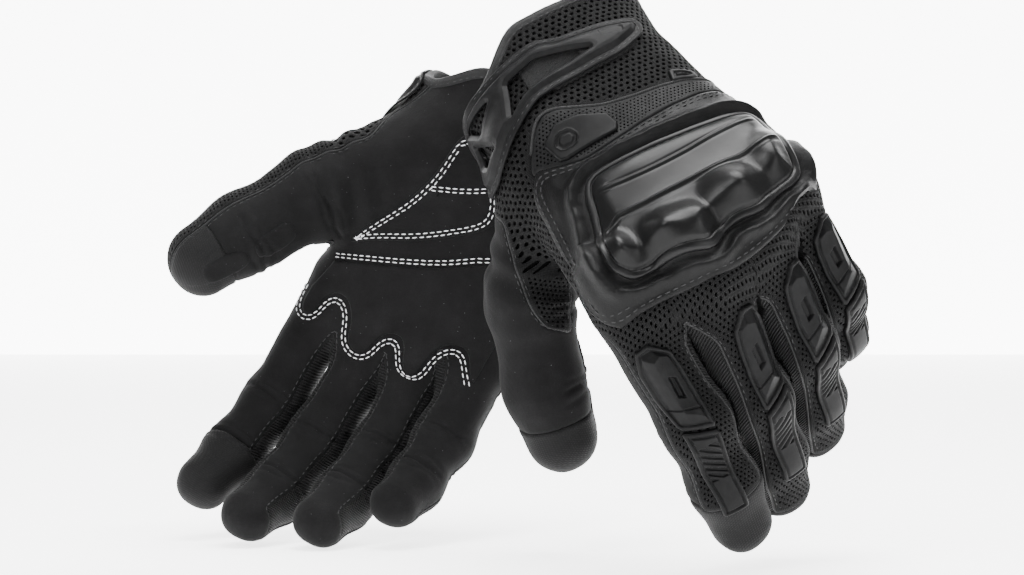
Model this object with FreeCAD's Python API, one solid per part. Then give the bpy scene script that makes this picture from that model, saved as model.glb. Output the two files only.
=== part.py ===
"""A pair of short-cuff motorcycle riding gloves, filled out as if worn, hanging with the fingers down.

Each glove is a hollow soft hand with a hinged thumb and four hinged fingers. Every finger has a base stall and
a tip stall, and a two-piece guard along its back. The hand carries a leather knuckle surround, a foam knuckle
pad under a hard knuckle guard with four bumps, an emblem plate, palm patches and a cuff binding. A tapered wrist
strap folds over the thumb edge of the wrist and closes with hook and loop on the back.

Each glove is drawn in its own hand frame, in millimetres: u points to the thumb side, v to the fingertips and
w out of the back of the hand, with the origin at the middle of the wrist. The hand frame is then turned into the
row frame: +X right, +Y away from the viewer, +Z up. The origin is the middle of the right glove's cuff opening.
"""

import FreeCAD
import Part

import math
import os

Vec = FreeCAD.Vector

# ---------------------------------------------------------------- driving dimensions, in millimetres and degrees

WALL = 2.4                     # thickness of the soft shell: outer fabric, foam and lining together
CUFF_V = -30.0                 # where the soft shell ends at the wrist
BINDING_WIDTH = 4.0
# Sections of the hand along v: place, half-width, half-thickness.
HAND_SECTIONS = [(-34, 41.5, 24.5), (-6, 37.5, 22.5), (24, 40.0, 21.0), (58, 44.5, 19.0), (98, 46.5, 15.5)]
SECTION_POWER = 2.5            # 2 is an ellipse, more is squarer
SECTION_POINTS = 24

FINGERS = ("index", "middle", "ring", "pinky")
KNUCKLES = {"index": Vec(36, 90, -1), "middle": Vec(11.5, 95, 0), "ring": Vec(-12, 90, -1),
            "pinky": Vec(-33.5, 80, -4)}
# Length of the three finger bones with the glove on, and the radius at each joint and at the tip.
BONES = {"index": (45, 27, 29), "middle": (47, 29, 30), "ring": (43, 28, 29), "pinky": (37, 22, 26)}
RADII = {"index": (10.8, 10.2, 9.6, 8.6), "middle": (11.0, 10.4, 9.8, 8.8), "ring": (10.6, 10.0, 9.4, 8.4),
         "pinky": (9.6, 9.0, 8.4, 7.6)}
LANE_EDGES = {"index": (23.75, 60), "middle": (-0.25, 23.75), "ring": (-22.75, -0.25), "pinky": (-60, -22.75)}

THUMB_ROOT = Vec(28, 18, -9)
THUMB_BONES = (42, 34, 32)
THUMB_RADII = (17.5, 15.0, 13.8, 11.8)
THUMB_SWING_TILT = -30.0       # the thumb closes across the palm, and this far out of the palm's plane

# Degrees from rest, closing is positive. The left glove rests half closed, so it opens further.
KNUCKLE_RANGE = {"right": (-12.0, 42.0), "left": (-40.0, 20.0)}
MID_RATIO = 0.9                # the middle joint closes this much as the knuckle closes by 1
THUMB_RANGE = {"right": (-10.0, 16.0), "left": (-18.0, 20.0)}
THUMB_MID_RATIO = 1.0
STRAP_RANGE = (0.0, 95.0)
STRAP_HINGE = (42.0, 0.0)      # (u, v) of the line, along v at w = 0, where the strap folds over the thumb edge
LIFT_RANGE_MM = (0.0, 150.0)

GUARD_THICK = 2.6
GUARD_LIFT = 0.15              # gap between a sewn-on piece and the shell below it
GUARD_JOINT_GAP = 3.5
STRAP_BOTTOM, STRAP_TOP = 2.2, 4.6
HINGE_GAP = 0.6
HINGE_MARGIN = 1.5

# How each glove hangs. turn: from straight down towards +X. pitch: fingertips towards the viewer. roll: about v.
GLOVES = {
    "right": {
        "mirror": True, "turn": -25.7, "pitch": -3.4, "roll": 16.0, "wrist": Vec(-4.8, -8, 56.7),
        "fingers": {"index": (1.5, 11, 23, 11), "middle": (-1, 20, 23, 20), "ring": (-4.5, 22, 24, 17),
                    "pinky": (-5, 21, 21, 17)},
        "thumb": (41.7, 17.4, 14, 0),
    },
    "left": {
        "mirror": False, "turn": 38.0, "pitch": 36.0, "roll": -15.4, "wrist": Vec(27, -86, 66.3),
        "fingers": {"index": (-7, 49, 13, 5), "middle": (-8.5, 59, 18, 5), "ring": (-11, 58, 24, 5),
                    "pinky": (-10.5, 56, 29, 22)},
        "thumb": (52.5, 45.8, 19, 8),
    },
}

# Outlines on the hand, as (u, v) corners.
GUARD_OUTLINE = [(42, 53), (46, 72), (47, 84), (43, 92), (-33, 86), (-38, 74), (-37, 52), (-28, 49), (22, 49)]
GUARD_INNER = [(39, 56), (42, 72), (42, 82), (39, 87), (-30, 81), (-34, 73), (-33, 55), (-26, 52), (21, 52)]
LEATHER_OUTLINE = [(45, 36), (49, 60), (50, 78), (-40, 68), (-42, 40), (-24, 34), (22, 34)]
EMBLEM_OUTLINE = [(29, 15), (10, 20), (4, 30), (34, 33), (38, 26)]
STRAP_OUTLINE = [(60, -26), (60, 5), (30, 10), (-22, -6), (-27, -11), (-23, -18), (12, -25)]
HOOK_OUTLINE = [(10, -20), (10, 4), (-19, -6), (-22, -11), (-18, -16)]
LOOP_OUTLINE = [(16, -23), (16, 6), (-24, -3), (-28, -11), (-22, -21)]
HEEL_OUTLINE = [(17, 3), (20, 30), (36, 62), (12, 49), (-34, 24), (-34, 4)]
PALM_OUTLINE = [(38, 71), (39, 79), (-12, 79), (-40, 68), (-40, 40), (-12, 46), (14, 61)]
BUMP_CENTRES = [(34, 82), (12, 84), (-10, 81), (-29, 76)]
BUMP_RADIUS = 12.0
BUMP_SINK = 6.0                # how far a bump's centre lies below the guard's own top
GUARD_FLOOR, GUARD_TOP, GUARD_WALL = 1.9, 7.2, 2.4
LEATHER_TOP = 1.7


# ---------------------------------------------------------------- small helpers


def rotated(vector, axis, degrees):
    return FreeCAD.Rotation(axis, degrees).multVec(vector)


def unit(vector):
    return Vec(vector).normalize()


def solid_of(shape):
    """The shape as one solid, or as a compound of its solids."""
    return shape.Solids[0] if len(shape.Solids) == 1 else Part.makeCompound(shape.Solids)


def biggest(shape):
    return max(shape.Solids, key=lambda s: s.Volume)


def ball(centre, radius):
    return Part.makeSphere(radius, centre)


def limb(start, end, start_radius, end_radius):
    """A round tapered rod between two points."""
    along = end - start
    if abs(start_radius - end_radius) < 1e-6:
        return Part.makeCylinder(start_radius, along.Length, start, along)
    return Part.makeCone(start_radius, end_radius, along.Length, start, along)


def prism(origin, x_axis, y_axis, corners, low, high):
    """A prism on a polygon given in the plane of x_axis and y_axis, from low to high along their normal."""
    normal = x_axis.cross(y_axis)
    points = [origin + x_axis * x + y_axis * y + normal * low for x, y in corners]
    face = Part.Face(Part.makePolygon(points + points[:1]))
    return face.extrude(normal * (high - low))


# ---------------------------------------------------------------- the hand


def hand_size(v):
    """Half-width and half-thickness of the hand at v."""
    rows = HAND_SECTIONS
    if v <= rows[0][0]:
        return rows[0][1:]
    for (v0, a0, b0), (v1, a1, b1) in zip(rows, rows[1:]):
        if v <= v1:
            t = (v - v0) / (v1 - v0)
            return a0 + t * (a1 - a0), b0 + t * (b1 - b0)
    return rows[-1][1:]


def section(v, offset):
    """A closed rounded wire around the hand at v, grown by offset."""
    a, b = (size + offset for size in hand_size(v))
    points = []
    for k in range(SECTION_POINTS):
        angle = 2 * math.pi * k / SECTION_POINTS
        c, s = math.cos(angle), math.sin(angle)
        reach = (abs(c) ** SECTION_POWER + abs(s) ** SECTION_POWER) ** (-1 / SECTION_POWER)
        points.append(Vec(a * c * reach, v, b * s * reach))
    curve = Part.BSplineCurve()
    curve.interpolate(points, PeriodicFlag=True)
    return Part.Wire(curve.toShape())


def hand_form(offset, start=None, end=None):
    """The solid outer form of the hand, grown by offset, from start to end along v."""
    places = [row[0] for row in HAND_SECTIONS]
    start = places[0] if start is None else start
    end = places[-1] if end is None else end
    stations = [start] + [v for v in places if start < v < end] + [end]
    return Part.makeLoft([section(v, offset) for v in stations], True, False)


def hand_layer(low, high, corners, back=True):
    """A sheet over the hand between two offsets, cut to an outline on the back or on the palm."""
    outline = prism(Vec(0, 0, 0), Vec(1, 0, 0), Vec(0, 1, 0), corners, 0 if back else -60, 60 if back else 0)
    return hand_form(high).common(outline).cut(hand_form(low))


def joint_cut(origin, along, back, rest_bend, joint_range, ratio, low_side, high_side, reach=45.0):
    """What a limb that ends at a hinge loses, so that its neighbour can bend about that hinge.

    The limb lies against along. back points to the outside of the bend."""
    side = along.cross(back)
    open_tilt = math.radians(rest_bend / 2 + joint_range[0] * ratio / 2 - HINGE_MARGIN)
    close_tilt = math.radians(rest_bend / 2 + joint_range[1] * ratio / 2 + HINGE_MARGIN)
    half = 30.0
    corners = [(-HINGE_GAP, 0), (half * math.tan(open_tilt) - HINGE_GAP, half), (reach, half), (reach, -half),
               (-half * math.tan(close_tilt) - HINGE_GAP, -half)]
    points = [origin + along * x + back * y + side * low_side for x, y in corners]
    face = Part.Face(Part.makePolygon(points + points[:1]))
    return face.extrude(side * (high_side - low_side))


# ---------------------------------------------------------------- fingers


class Finger:
    """The bones of one finger or thumb at rest, in the hand frame."""

    def __init__(self, start, direction, back, side, bones, bends, radii):
        self.points, self.along, self.backs = [start], [], []
        self.side, self.radii, self.bends, self.straight = side, radii, bends, direction
        for length, bend in zip(bones, bends):
            direction = rotated(direction, side, -bend)
            back = rotated(back, side, -bend)
            self.along.append(direction)
            self.backs.append(back)
            self.points.append(self.points[-1] + direction * length)


def finger_of(glove, name):
    spread, *bends = GLOVES[glove]["fingers"][name]
    s = math.radians(spread)
    direction, side = Vec(math.sin(s), math.cos(s), 0), Vec(math.cos(s), -math.sin(s), 0)
    return Finger(KNUCKLES[name], direction, Vec(0, 0, 1), side, BONES[name], bends, RADII[name])


def thumb_of(glove):
    swing, drop, knuckle_bend, mid_bend = GLOVES[glove]["thumb"]
    a, e = math.radians(swing), math.radians(drop)
    direction = Vec(math.sin(a) * math.cos(e), math.cos(a) * math.cos(e), -math.sin(e))
    closing = Vec(0, 0, 1) - direction * direction.z
    closing = rotated(unit(closing), direction, THUMB_SWING_TILT)
    side = closing * -1
    back = side.cross(direction)
    return Finger(THUMB_ROOT, direction, back, side, THUMB_BONES, (0, knuckle_bend, mid_bend), THUMB_RADII)


def stalls(f, first, knuckle_range, mid_ratio):
    """The base stall and the tip stall of a finger whose stall starts at bone number first, with their outer forms."""
    mid = first + 1
    r = f.radii[first:] if first == 0 else f.radii[1:] + (f.radii[-1],)
    p0, p1 = f.points[first], f.points[mid]
    knuckle_bend = f.bends[first]
    mid_bend = f.bends[mid]
    low, high = -22.0, 22.0

    def base_form(offset):
        back_off, forward = f.along[first] * -14, f.along[first] * 12
        grown = limb(p0 + back_off, p1 + forward, r[0] + offset, r[1] + offset)
        return grown

    last_bone = 1 if first == 0 else 0

    def tip_form(offset):
        back_off = f.along[mid] * -12
        if last_bone:
            p2, p3 = f.points[mid + 1], f.points[mid + 2]
            centre = p3 - f.along[mid + 1] * r[3]
            form = limb(p1 + back_off, p2, r[1] + offset, r[2] + offset)
            form = form.fuse(ball(p2, r[2] + offset)).fuse(limb(p2, centre, r[2] + offset, r[3] + offset))
            return form.fuse(ball(centre, r[3] + offset))
        p2 = f.points[mid + 1]
        centre = p2 - f.along[mid] * r[2]
        return limb(p1 + back_off, centre, r[1] + offset, r[2] + offset).fuse(ball(centre, r[2] + offset))

    start_cut = joint_cut(p0, f.along[first] * -1, f.backs[first], knuckle_bend, knuckle_range, 1, low, high)
    end_cut = joint_cut(p1, f.along[first], f.backs[first], mid_bend, knuckle_range, mid_ratio, low, high)
    tip_cut = joint_cut(p1, f.along[mid] * -1, f.backs[mid], mid_bend, knuckle_range, mid_ratio, low, high)
    base = base_form(0).cut(base_form(-WALL)).cut(start_cut).cut(end_cut)
    tip = tip_form(0).cut(tip_form(-WALL)).cut(tip_cut)
    return biggest(base), biggest(tip), base_form, tip_form


def finger_guard(form, start, along, back, near, far, near_half, far_half):
    """A tapered plate on the back of a stall, from near to far along it."""
    side = along.cross(back)
    outline = [(near, -near_half), (near + 5, near_half), (far, far_half), (far, -far_half)]
    block = prism(start, along, side, outline, -40, 0)
    plate = form(GUARD_LIFT + GUARD_THICK).common(block)
    return biggest(plate.cut(form(GUARD_LIFT)))


def touch_pad(f, form, bone, length):
    """A thin pad on the palm side of a fingertip."""
    tip, along, back = f.points[-1], f.along[bone], f.backs[bone]
    side = along.cross(back)
    block = prism(tip, along, side, [(-length, -12), (4, -12), (4, 12), (-length, 12)], 2.0, 30)
    return biggest(form(0.9).common(block).cut(form(GUARD_LIFT)))


# ---------------------------------------------------------------- the pieces of one glove


def build_hand(glove):
    """The hollow hand with its thumb root, cut back at the five knuckles."""
    thumb = thumb_of(glove)
    root, knuckle = thumb.points[0], thumb.points[1]
    thumb_cut = joint_cut(knuckle, thumb.along[0], thumb.backs[0], thumb.bends[1], THUMB_RANGE[glove], 1, -22, 22)
    r0, r1 = THUMB_RADII[:2]
    reach = knuckle + thumb.along[0] * 10
    mound = ball(root, r0).fuse(limb(root, reach, r0, r1)).cut(thumb_cut)
    hollow = ball(root, r0 - WALL).fuse(limb(root, reach, r0 - WALL, r1 - WALL))
    outer = hand_form(0, CUFF_V).fuse(mound)
    inner = hand_form(-WALL, CUFF_V - 3, HAND_SECTIONS[-1][0] + 3).fuse(hollow)
    shell = outer.cut(inner)
    for name in FINGERS:
        f = finger_of(glove, name)
        low, high = (edge - KNUCKLES[name].x for edge in LANE_EDGES[name])
        bend, travel = f.bends[0], KNUCKLE_RANGE[glove]
        shell = shell.cut(joint_cut(f.points[0], f.straight, Vec(0, 0, 1), bend, travel, 1, low, high))
    return biggest(shell)


def build_knuckle_guard():
    """The hard guard, hollow below, and the foam pad that fills it."""
    outside = prism(Vec(0, 0, 0), Vec(1, 0, 0), Vec(0, 1, 0), GUARD_OUTLINE, 0, 60)
    inside = prism(Vec(0, 0, 0), Vec(1, 0, 0), Vec(0, 1, 0), GUARD_INNER, 0, 60)
    top = hand_form(GUARD_TOP)
    for u, v in BUMP_CENTRES:
        a, b = hand_size(v)
        height = (b + GUARD_TOP) * (1 - (abs(u) / (a + GUARD_TOP)) ** SECTION_POWER) ** (1 / SECTION_POWER)
        top = top.fuse(ball(Vec(u, v, height - BUMP_SINK), BUMP_RADIUS))
    floor = hand_form(GUARD_FLOOR)
    room = hand_form(GUARD_TOP - GUARD_WALL).common(inside)
    guard = top.common(outside).cut(floor).cut(room)
    pad_outline = [(u * 0.97, 69 + (v - 69) * 0.97) for u, v in GUARD_INNER]
    pad = hand_layer(GUARD_FLOOR, GUARD_TOP - GUARD_WALL - 0.2, pad_outline)
    return biggest(guard), biggest(pad)


def build_binding():
    low, high = CUFF_V - BINDING_WIDTH, CUFF_V - 0.1
    return hand_form(1.2, low, high).cut(hand_form(-WALL - 0.8, low - 1, high + 1))


def build_glove(glove):
    """Every piece of one glove in the hand frame, by name."""
    pieces = {"hand_shell": build_hand(glove), "cuff_binding": build_binding()}
    pieces["knuckle_guard"], pieces["knuckle_pad"] = build_knuckle_guard()
    pieces["knuckle_leather"] = biggest(hand_layer(GUARD_LIFT, LEATHER_TOP, LEATHER_OUTLINE))
    pieces["emblem_plate"] = biggest(hand_layer(GUARD_LIFT, 2.4, EMBLEM_OUTLINE))
    patches = [biggest(hand_layer(GUARD_LIFT, 1.3, outline, back=False)) for outline in (HEEL_OUTLINE, PALM_OUTLINE)]
    keep_off = build_thumb_mound(glove, 0.2)
    pieces["palm_patches"] = solid_of(Part.makeCompound([biggest(p.cut(keep_off)) for p in patches]))
    pieces["loop_patch"] = biggest(hand_layer(GUARD_LIFT, 1.0, LOOP_OUTLINE))
    pieces["wrist_strap"] = biggest(hand_layer(STRAP_BOTTOM, STRAP_TOP, STRAP_OUTLINE))
    pieces["hook_patch"] = biggest(hand_layer(1.35, STRAP_BOTTOM - 0.05, HOOK_OUTLINE))
    for name in FINGERS:
        f = finger_of(glove, name)
        base, tip, base_form, tip_form = stalls(f, 0, KNUCKLE_RANGE[glove], MID_RATIO)
        pieces[f"{name}_base_stall"], pieces[f"{name}_tip_stall"] = base, tip
        first, second = BONES[name][:2]
        wide = f.radii[1] * 0.74
        pieces[f"{name}_upper_guard"] = finger_guard(
            base_form, f.points[0], f.along[0], f.backs[0], 10, first - GUARD_JOINT_GAP, wide, wide * 0.9)
        pieces[f"{name}_lower_guard"] = finger_guard(
            tip_form, f.points[1], f.along[1], f.backs[1], GUARD_JOINT_GAP, second - 1, wide * 0.8, wide * 0.6)
        if name == "index":
            pieces["index_touch_pad"] = touch_pad(f, tip_form, 2, 24)
    thumb = thumb_of(glove)
    base, tip, base_form, tip_form = stalls(thumb, 1, THUMB_RANGE[glove], THUMB_MID_RATIO)
    pieces["thumb_base_stall"], pieces["thumb_tip_stall"] = base, tip
    pieces["thumb_touch_pad"] = touch_pad(thumb, tip_form, 2, 22)
    return pieces


def build_thumb_mound(glove, offset):
    thumb = thumb_of(glove)
    root, knuckle = thumb.points[0], thumb.points[1]
    r0, r1 = THUMB_RADII[:2]
    return ball(root, r0 + offset).fuse(limb(root, knuckle, r0 + offset, r1 + offset))


# ---------------------------------------------------------------- from the hand frame to the row frame


def hand_axes(glove):
    """The hand frame's u, v and w directions in the row frame."""
    g = GLOVES[glove]
    turn, pitch = math.radians(g["turn"]), math.radians(g["pitch"])
    v = Vec(math.sin(turn) * math.cos(pitch), -math.sin(pitch), -math.cos(turn) * math.cos(pitch))
    out = Vec(0, 1, 0) if g["mirror"] else Vec(0, -1, 0)
    w = unit(out - v * out.dot(v))
    u = v.cross(w) * (-1 if g["mirror"] else 1)
    return rotated(u, v, g["roll"]), v, rotated(w, v, g["roll"])


def row_origin():
    """The middle of the right cuff opening, before the row frame is moved there."""
    v = hand_axes("right")[1]
    return GLOVES["right"]["wrist"] + v * (CUFF_V - BINDING_WIDTH)


def to_row(glove, point):
    u, v, w = hand_axes(glove)
    return GLOVES[glove]["wrist"] + u * point.x + v * point.y + w * point.z - row_origin()


def turned(glove, direction):
    u, v, w = hand_axes(glove)
    return u * direction.x + v * direction.y + w * direction.z


def place(glove, shape):
    """The shape moved from the hand frame to the row frame, mirrored for the right glove."""
    u, v, w = hand_axes(glove)
    if GLOVES[glove]["mirror"]:
        shape = shape.mirror(Vec(0, 0, 0), Vec(1, 0, 0))
        u = u * -1
    at = to_row(glove, Vec(0, 0, 0))
    moved = shape.copy()
    moved.transformShape(FreeCAD.Matrix(u.x, v.x, w.x, at.x, u.y, v.y, w.y, at.y, u.z, v.z, w.z, at.z, 0, 0, 0, 1))
    return moved


def main():
    os.makedirs("parts", exist_ok=True)
    for glove in GLOVES:
        for name, shape in build_glove(glove).items():
            placed = place(glove, solid_of(shape))
            placed.exportStep(f"parts/{glove}_{name}.step")


if __name__ == "__main__":
    main()
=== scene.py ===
"""Looks for a pair of short-cuff riding gloves with moulded knuckle and finger guards.

Each glove is one smooth form, made from rounded bones in its own hand frame, in millimetres: u towards the thumb
side, v towards the fingertips, w out of the back of the hand. That form is cut along its seams into sewn panels.
Each panel gets its own thickness, edge and cloth. Moulded parts are raised from outlines laid on the same form.
"""

import math

import bpy
import numpy as np
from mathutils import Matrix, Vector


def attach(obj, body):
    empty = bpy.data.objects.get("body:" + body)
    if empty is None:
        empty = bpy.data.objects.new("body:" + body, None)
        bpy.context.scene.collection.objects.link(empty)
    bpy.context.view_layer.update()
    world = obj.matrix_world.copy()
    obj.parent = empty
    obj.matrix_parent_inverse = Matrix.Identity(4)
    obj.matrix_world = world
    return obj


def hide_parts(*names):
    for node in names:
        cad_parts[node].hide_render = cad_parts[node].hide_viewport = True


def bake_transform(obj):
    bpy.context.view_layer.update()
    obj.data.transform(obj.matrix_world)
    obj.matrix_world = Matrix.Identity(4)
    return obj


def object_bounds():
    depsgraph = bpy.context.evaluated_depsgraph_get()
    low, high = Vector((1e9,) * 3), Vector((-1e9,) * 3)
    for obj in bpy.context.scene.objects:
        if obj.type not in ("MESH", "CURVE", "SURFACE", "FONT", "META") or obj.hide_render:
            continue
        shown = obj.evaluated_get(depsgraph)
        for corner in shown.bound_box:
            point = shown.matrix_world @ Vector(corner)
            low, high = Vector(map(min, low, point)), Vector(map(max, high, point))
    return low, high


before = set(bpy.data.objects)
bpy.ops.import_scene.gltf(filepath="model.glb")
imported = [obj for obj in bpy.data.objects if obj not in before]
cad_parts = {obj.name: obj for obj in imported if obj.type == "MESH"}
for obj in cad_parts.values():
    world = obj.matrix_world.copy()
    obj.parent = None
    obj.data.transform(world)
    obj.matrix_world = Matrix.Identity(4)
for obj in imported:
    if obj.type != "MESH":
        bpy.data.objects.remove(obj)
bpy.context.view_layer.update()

# ---------------------------------------------------------------- the same sizes as the CAD model

FINGERS = ("index", "middle", "ring", "pinky")
KNUCKLES = {"index": (36, 90, -1), "middle": (11.5, 95, 0), "ring": (-12, 90, -1), "pinky": (-33.5, 80, -4)}
BONES = {"index": (45, 27, 29), "middle": (47, 29, 30), "ring": (43, 28, 29), "pinky": (37, 22, 26)}
RADII = {"index": (11.4, 10.8, 10.2, 9.2), "middle": (11.6, 11.0, 10.4, 9.4), "ring": (11.2, 10.6, 10.0, 9.0),
         "pinky": (10.4, 9.8, 9.2, 8.4)}
THUMB_ROOT, THUMB_BONES, THUMB_RADII = (28, 18, -9), (42, 34, 32), (17.5, 15.2, 14.2, 12.2)
THUMB_SWING_TILT = -30.0
GLOVES = {
    "right": {"mirror": True, "turn": -25.7, "pitch": -3.4, "roll": 16.0, "wrist": (-4.8, -8, 56.7),
              "fingers": {"index": (1.5, 11, 23, 11), "middle": (-1, 20, 23, 20), "ring": (-4.5, 22, 24, 17),
                          "pinky": (-5, 21, 21, 17)}, "thumb": (41.7, 17.4, 14, 0)},
    "left": {"mirror": False, "turn": 38.0, "pitch": 36.0, "roll": -15.4, "wrist": (27, -86, 66.3),
             "fingers": {"index": (-7, 49, 13, 5), "middle": (-8.5, 59, 18, 5), "ring": (-11, 58, 24, 5),
                         "pinky": (-10.5, 56, 29, 22)}, "thumb": (52.5, 45.8, 19, 8)},
}
CUFF_V = -34.0
# Sections of the hand along v: place, half-width, half-thickness.
SECTIONS = ((-60, 43.0, 26.0), (-34, 41.5, 24.5), (-6, 38.0, 22.5), (24, 40.0, 21.0), (58, 44.5, 19.0),
            (98, 46.0, 15.5), (130, 46.0, 14.5))
# How far the hand reaches between the fingers, across it.
WEB_LINE = ((-46, 86), (-32, 92), (-21.5, 98), (-11, 103), (0, 106), (11, 108), (23, 104), (34, 103), (46, 97))

# ---------------------------------------------------------------- vectors and frames


def unit(a):
    a = np.asarray(a, float)
    return a / np.linalg.norm(a)


def lengths(rows):
    """The length of every row, as a column, and never quite zero."""
    return np.maximum(np.linalg.norm(rows, axis=1), 1e-9)[:, None]


def travelled(points):
    """How far along a line each of its points is."""
    return np.concatenate([[0], np.cumsum(np.linalg.norm(np.diff(points, axis=0), axis=1))])


def rotation(axis, degrees):
    x, y, z = unit(axis)
    c, s = math.cos(math.radians(degrees)), math.sin(math.radians(degrees))
    k = np.array([[0, -z, y], [z, 0, -x], [-y, x, 0]])
    return np.eye(3) + s * k + (1 - c) * k @ k


def hand_axes(glove):
    g = GLOVES[glove]
    turn, pitch = math.radians(g["turn"]), math.radians(g["pitch"])
    v = np.array([math.sin(turn) * math.cos(pitch), -math.sin(pitch), -math.cos(turn) * math.cos(pitch)])
    out = np.array([0, 1.0, 0]) if g["mirror"] else np.array([0, -1.0, 0])
    w = unit(out - v * out.dot(v))
    u = np.cross(v, w) * (-1 if g["mirror"] else 1)
    r = rotation(v, g["roll"])
    return np.array([r @ u, v, r @ w])


ROW_ORIGIN = np.array(GLOVES["right"]["wrist"]) + hand_axes("right")[1] * CUFF_V


def to_row(glove, points):
    """Points of the hand frame, in millimetres, as points of the row frame, in metres."""
    return (np.asarray(points, float) @ hand_axes(glove) + GLOVES[glove]["wrist"] - ROW_ORIGIN) * 0.001


class Chain:
    """The bones of one finger or thumb at rest."""

    def __init__(self, start, direction, back, bones, bends, radii, flat=(1.0, 1.0)):
        self.side, self.straight = np.cross(direction, back), direction
        self.points, self.along, self.backs = [np.array(start, float)], [], []
        self.bones, self.radii, self.flat = bones, radii, flat
        for length, bend in zip(bones, bends):
            r = rotation(self.side, -bend)
            direction, back = r @ direction, r @ back
            self.along.append(direction)
            self.backs.append(back)
            self.points.append(self.points[-1] + direction * length)


def finger_chain(glove, name):
    spread, *bends = GLOVES[glove]["fingers"][name]
    s = math.radians(spread)
    along = np.array([math.sin(s), math.cos(s), 0.0])
    return Chain(KNUCKLES[name], along, np.array([0, 0, 1.0]), BONES[name], bends, RADII[name], (1.05, 0.96))


def thumb_chain(glove):
    swing, drop, knuckle_bend, mid_bend = GLOVES[glove]["thumb"]
    a, e = math.radians(swing), math.radians(drop)
    along = np.array([math.sin(a) * math.cos(e), math.cos(a) * math.cos(e), -math.sin(e)])
    closing = rotation(along, THUMB_SWING_TILT) @ unit(np.array([0, 0, 1.0]) - along * along[2])
    back = np.cross(-closing, along)
    return Chain(THUMB_ROOT, along, back, THUMB_BONES, (0, knuckle_bend, mid_bend), THUMB_RADII, (1.03, 0.98))


# ---------------------------------------------------------------- the glove's form as a distance field


def smooth_min(a, b, k):
    h = np.maximum(k - np.abs(a - b), 0) / k
    return np.minimum(a, b) - h * h * k / 4


def smooth_step(x, low, high):
    t = np.clip((x - low) / (high - low), 0, 1)
    return t * t * (3 - 2 * t)


PROFILE_V = np.linspace(-60, 130, 96)


def profile(column):
    rows = np.array(SECTIONS, float)
    line = np.interp(PROFILE_V, rows[:, 0], rows[:, column])
    kernel = np.hanning(13)
    return np.convolve(np.pad(line, 6, mode="edge"), kernel / kernel.sum(), "valid")


HALF_WIDTH, HALF_THICK = profile(1), profile(2)


def hand_distance(p):
    x, v, z = p[:, 0], p[:, 1], p[:, 2]
    a, b = np.interp(v, PROFILE_V, HALF_WIDTH), np.interp(v, PROFILE_V, HALF_THICK)
    n = 2.4
    fx, fz = np.abs(x) / a, np.abs(z) / b
    f = (fx**n + fz**n) ** (1 / n) + 1e-6
    slope = np.hypot((fx / f) ** (n - 1) / a, (fz / f) ** (n - 1) / b)
    d = (f - 1) / slope
    # The palm is hollow in its middle, with a pad under the fingers and one at the little finger side.
    palm = smooth_step(-z, 4, 12)
    d += palm * 2.6 * np.exp(-(((x + 2) / 17) ** 2) - ((v - 44) / 26) ** 2)
    d -= palm * 1.2 * np.exp(-((x / 34) ** 2) - ((v - 84) / 10) ** 2)
    web = np.array(WEB_LINE, float)
    return -smooth_min(-d, np.interp(x, web[:, 0], web[:, 1]) - v, 12)


def chain_distance(p, c):
    """Distance to a chain, with the place along it and the point's side and back offsets there."""
    best, travel = None, 0.0
    out = np.zeros((3, len(p)))
    for i, length in enumerate(c.bones):
        rel = p - c.points[i]
        t = rel @ c.along[i]
        end = length - (c.radii[-1] if i == len(c.bones) - 1 else 0)
        on = np.clip(t, -14 if i == 0 else 0, end)
        rest = t - on
        s, b = rel @ c.side, rel @ c.backs[i]
        r = c.radii[i] + (c.radii[i + 1] - c.radii[i]) * np.clip(on / length, 0, 1)
        fs, fb = np.abs(s) / c.flat[0], np.abs(b) / c.flat[1]
        around = (fs**2.3 + fb**2.3) ** (1 / 2.3)
        d = np.hypot(around, rest) - r
        if best is None:
            best = d
            out[:] = t, s, b
        else:
            near = d < best
            out[:, near] = np.stack([t + travel, s, b])[:, near]
            best = smooth_min(best, d, 7.0)
        travel += length
    return best, out


def glove_distance(p, chains):
    """Distance to the whole outer form of a glove."""
    hand = hand_distance(p)
    whole = None
    for name in FINGERS:
        one = smooth_min(hand, chain_distance(p, chains[name])[0], 7.0)
        whole = one if whole is None else smooth_min(whole, one, 1.2)
    thumb = smooth_min(hand, chain_distance(p, chains["thumb"])[0], 15.0)
    return smooth_min(whole, thumb, 1.5)

# ---------------------------------------------------------------- meshes

STEP = 1.05
# What each point of the form knows: its normal, its place on its finger and on the thumb, its distance to the seams,
# and for every finger whether it is on that finger's side, how far along it, and whether it is past its first joint.
COLUMNS = ("nx", "ny", "nz", "t", "s", "b", "r", "arc", "q", "gd", "gf", "thumb", "tt", "ts", "tb",
           "lane_index", "lane_middle", "lane_ring", "lane_pinky", "t_index", "t_middle", "t_ring", "t_pinky",
           "cuff", "reach", "root_index", "root_middle", "root_ring", "root_pinky")


class Mesh:
    """Triangles with named columns of data on their corners."""

    def __init__(self, points, data, faces):
        self.p, self.d, self.f = points, data, faces

    def __getitem__(self, name):
        return self.d[:, COLUMNS.index(name)]

    @property
    def n(self):
        return self.d[:, :3]

    def copy(self):
        return Mesh(self.p.copy(), self.d.copy(), self.f.copy())


def compact(points, data, faces):
    used, back = np.unique(faces, return_inverse=True)
    return Mesh(points[used], data[used], back.reshape(-1, 3))


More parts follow.
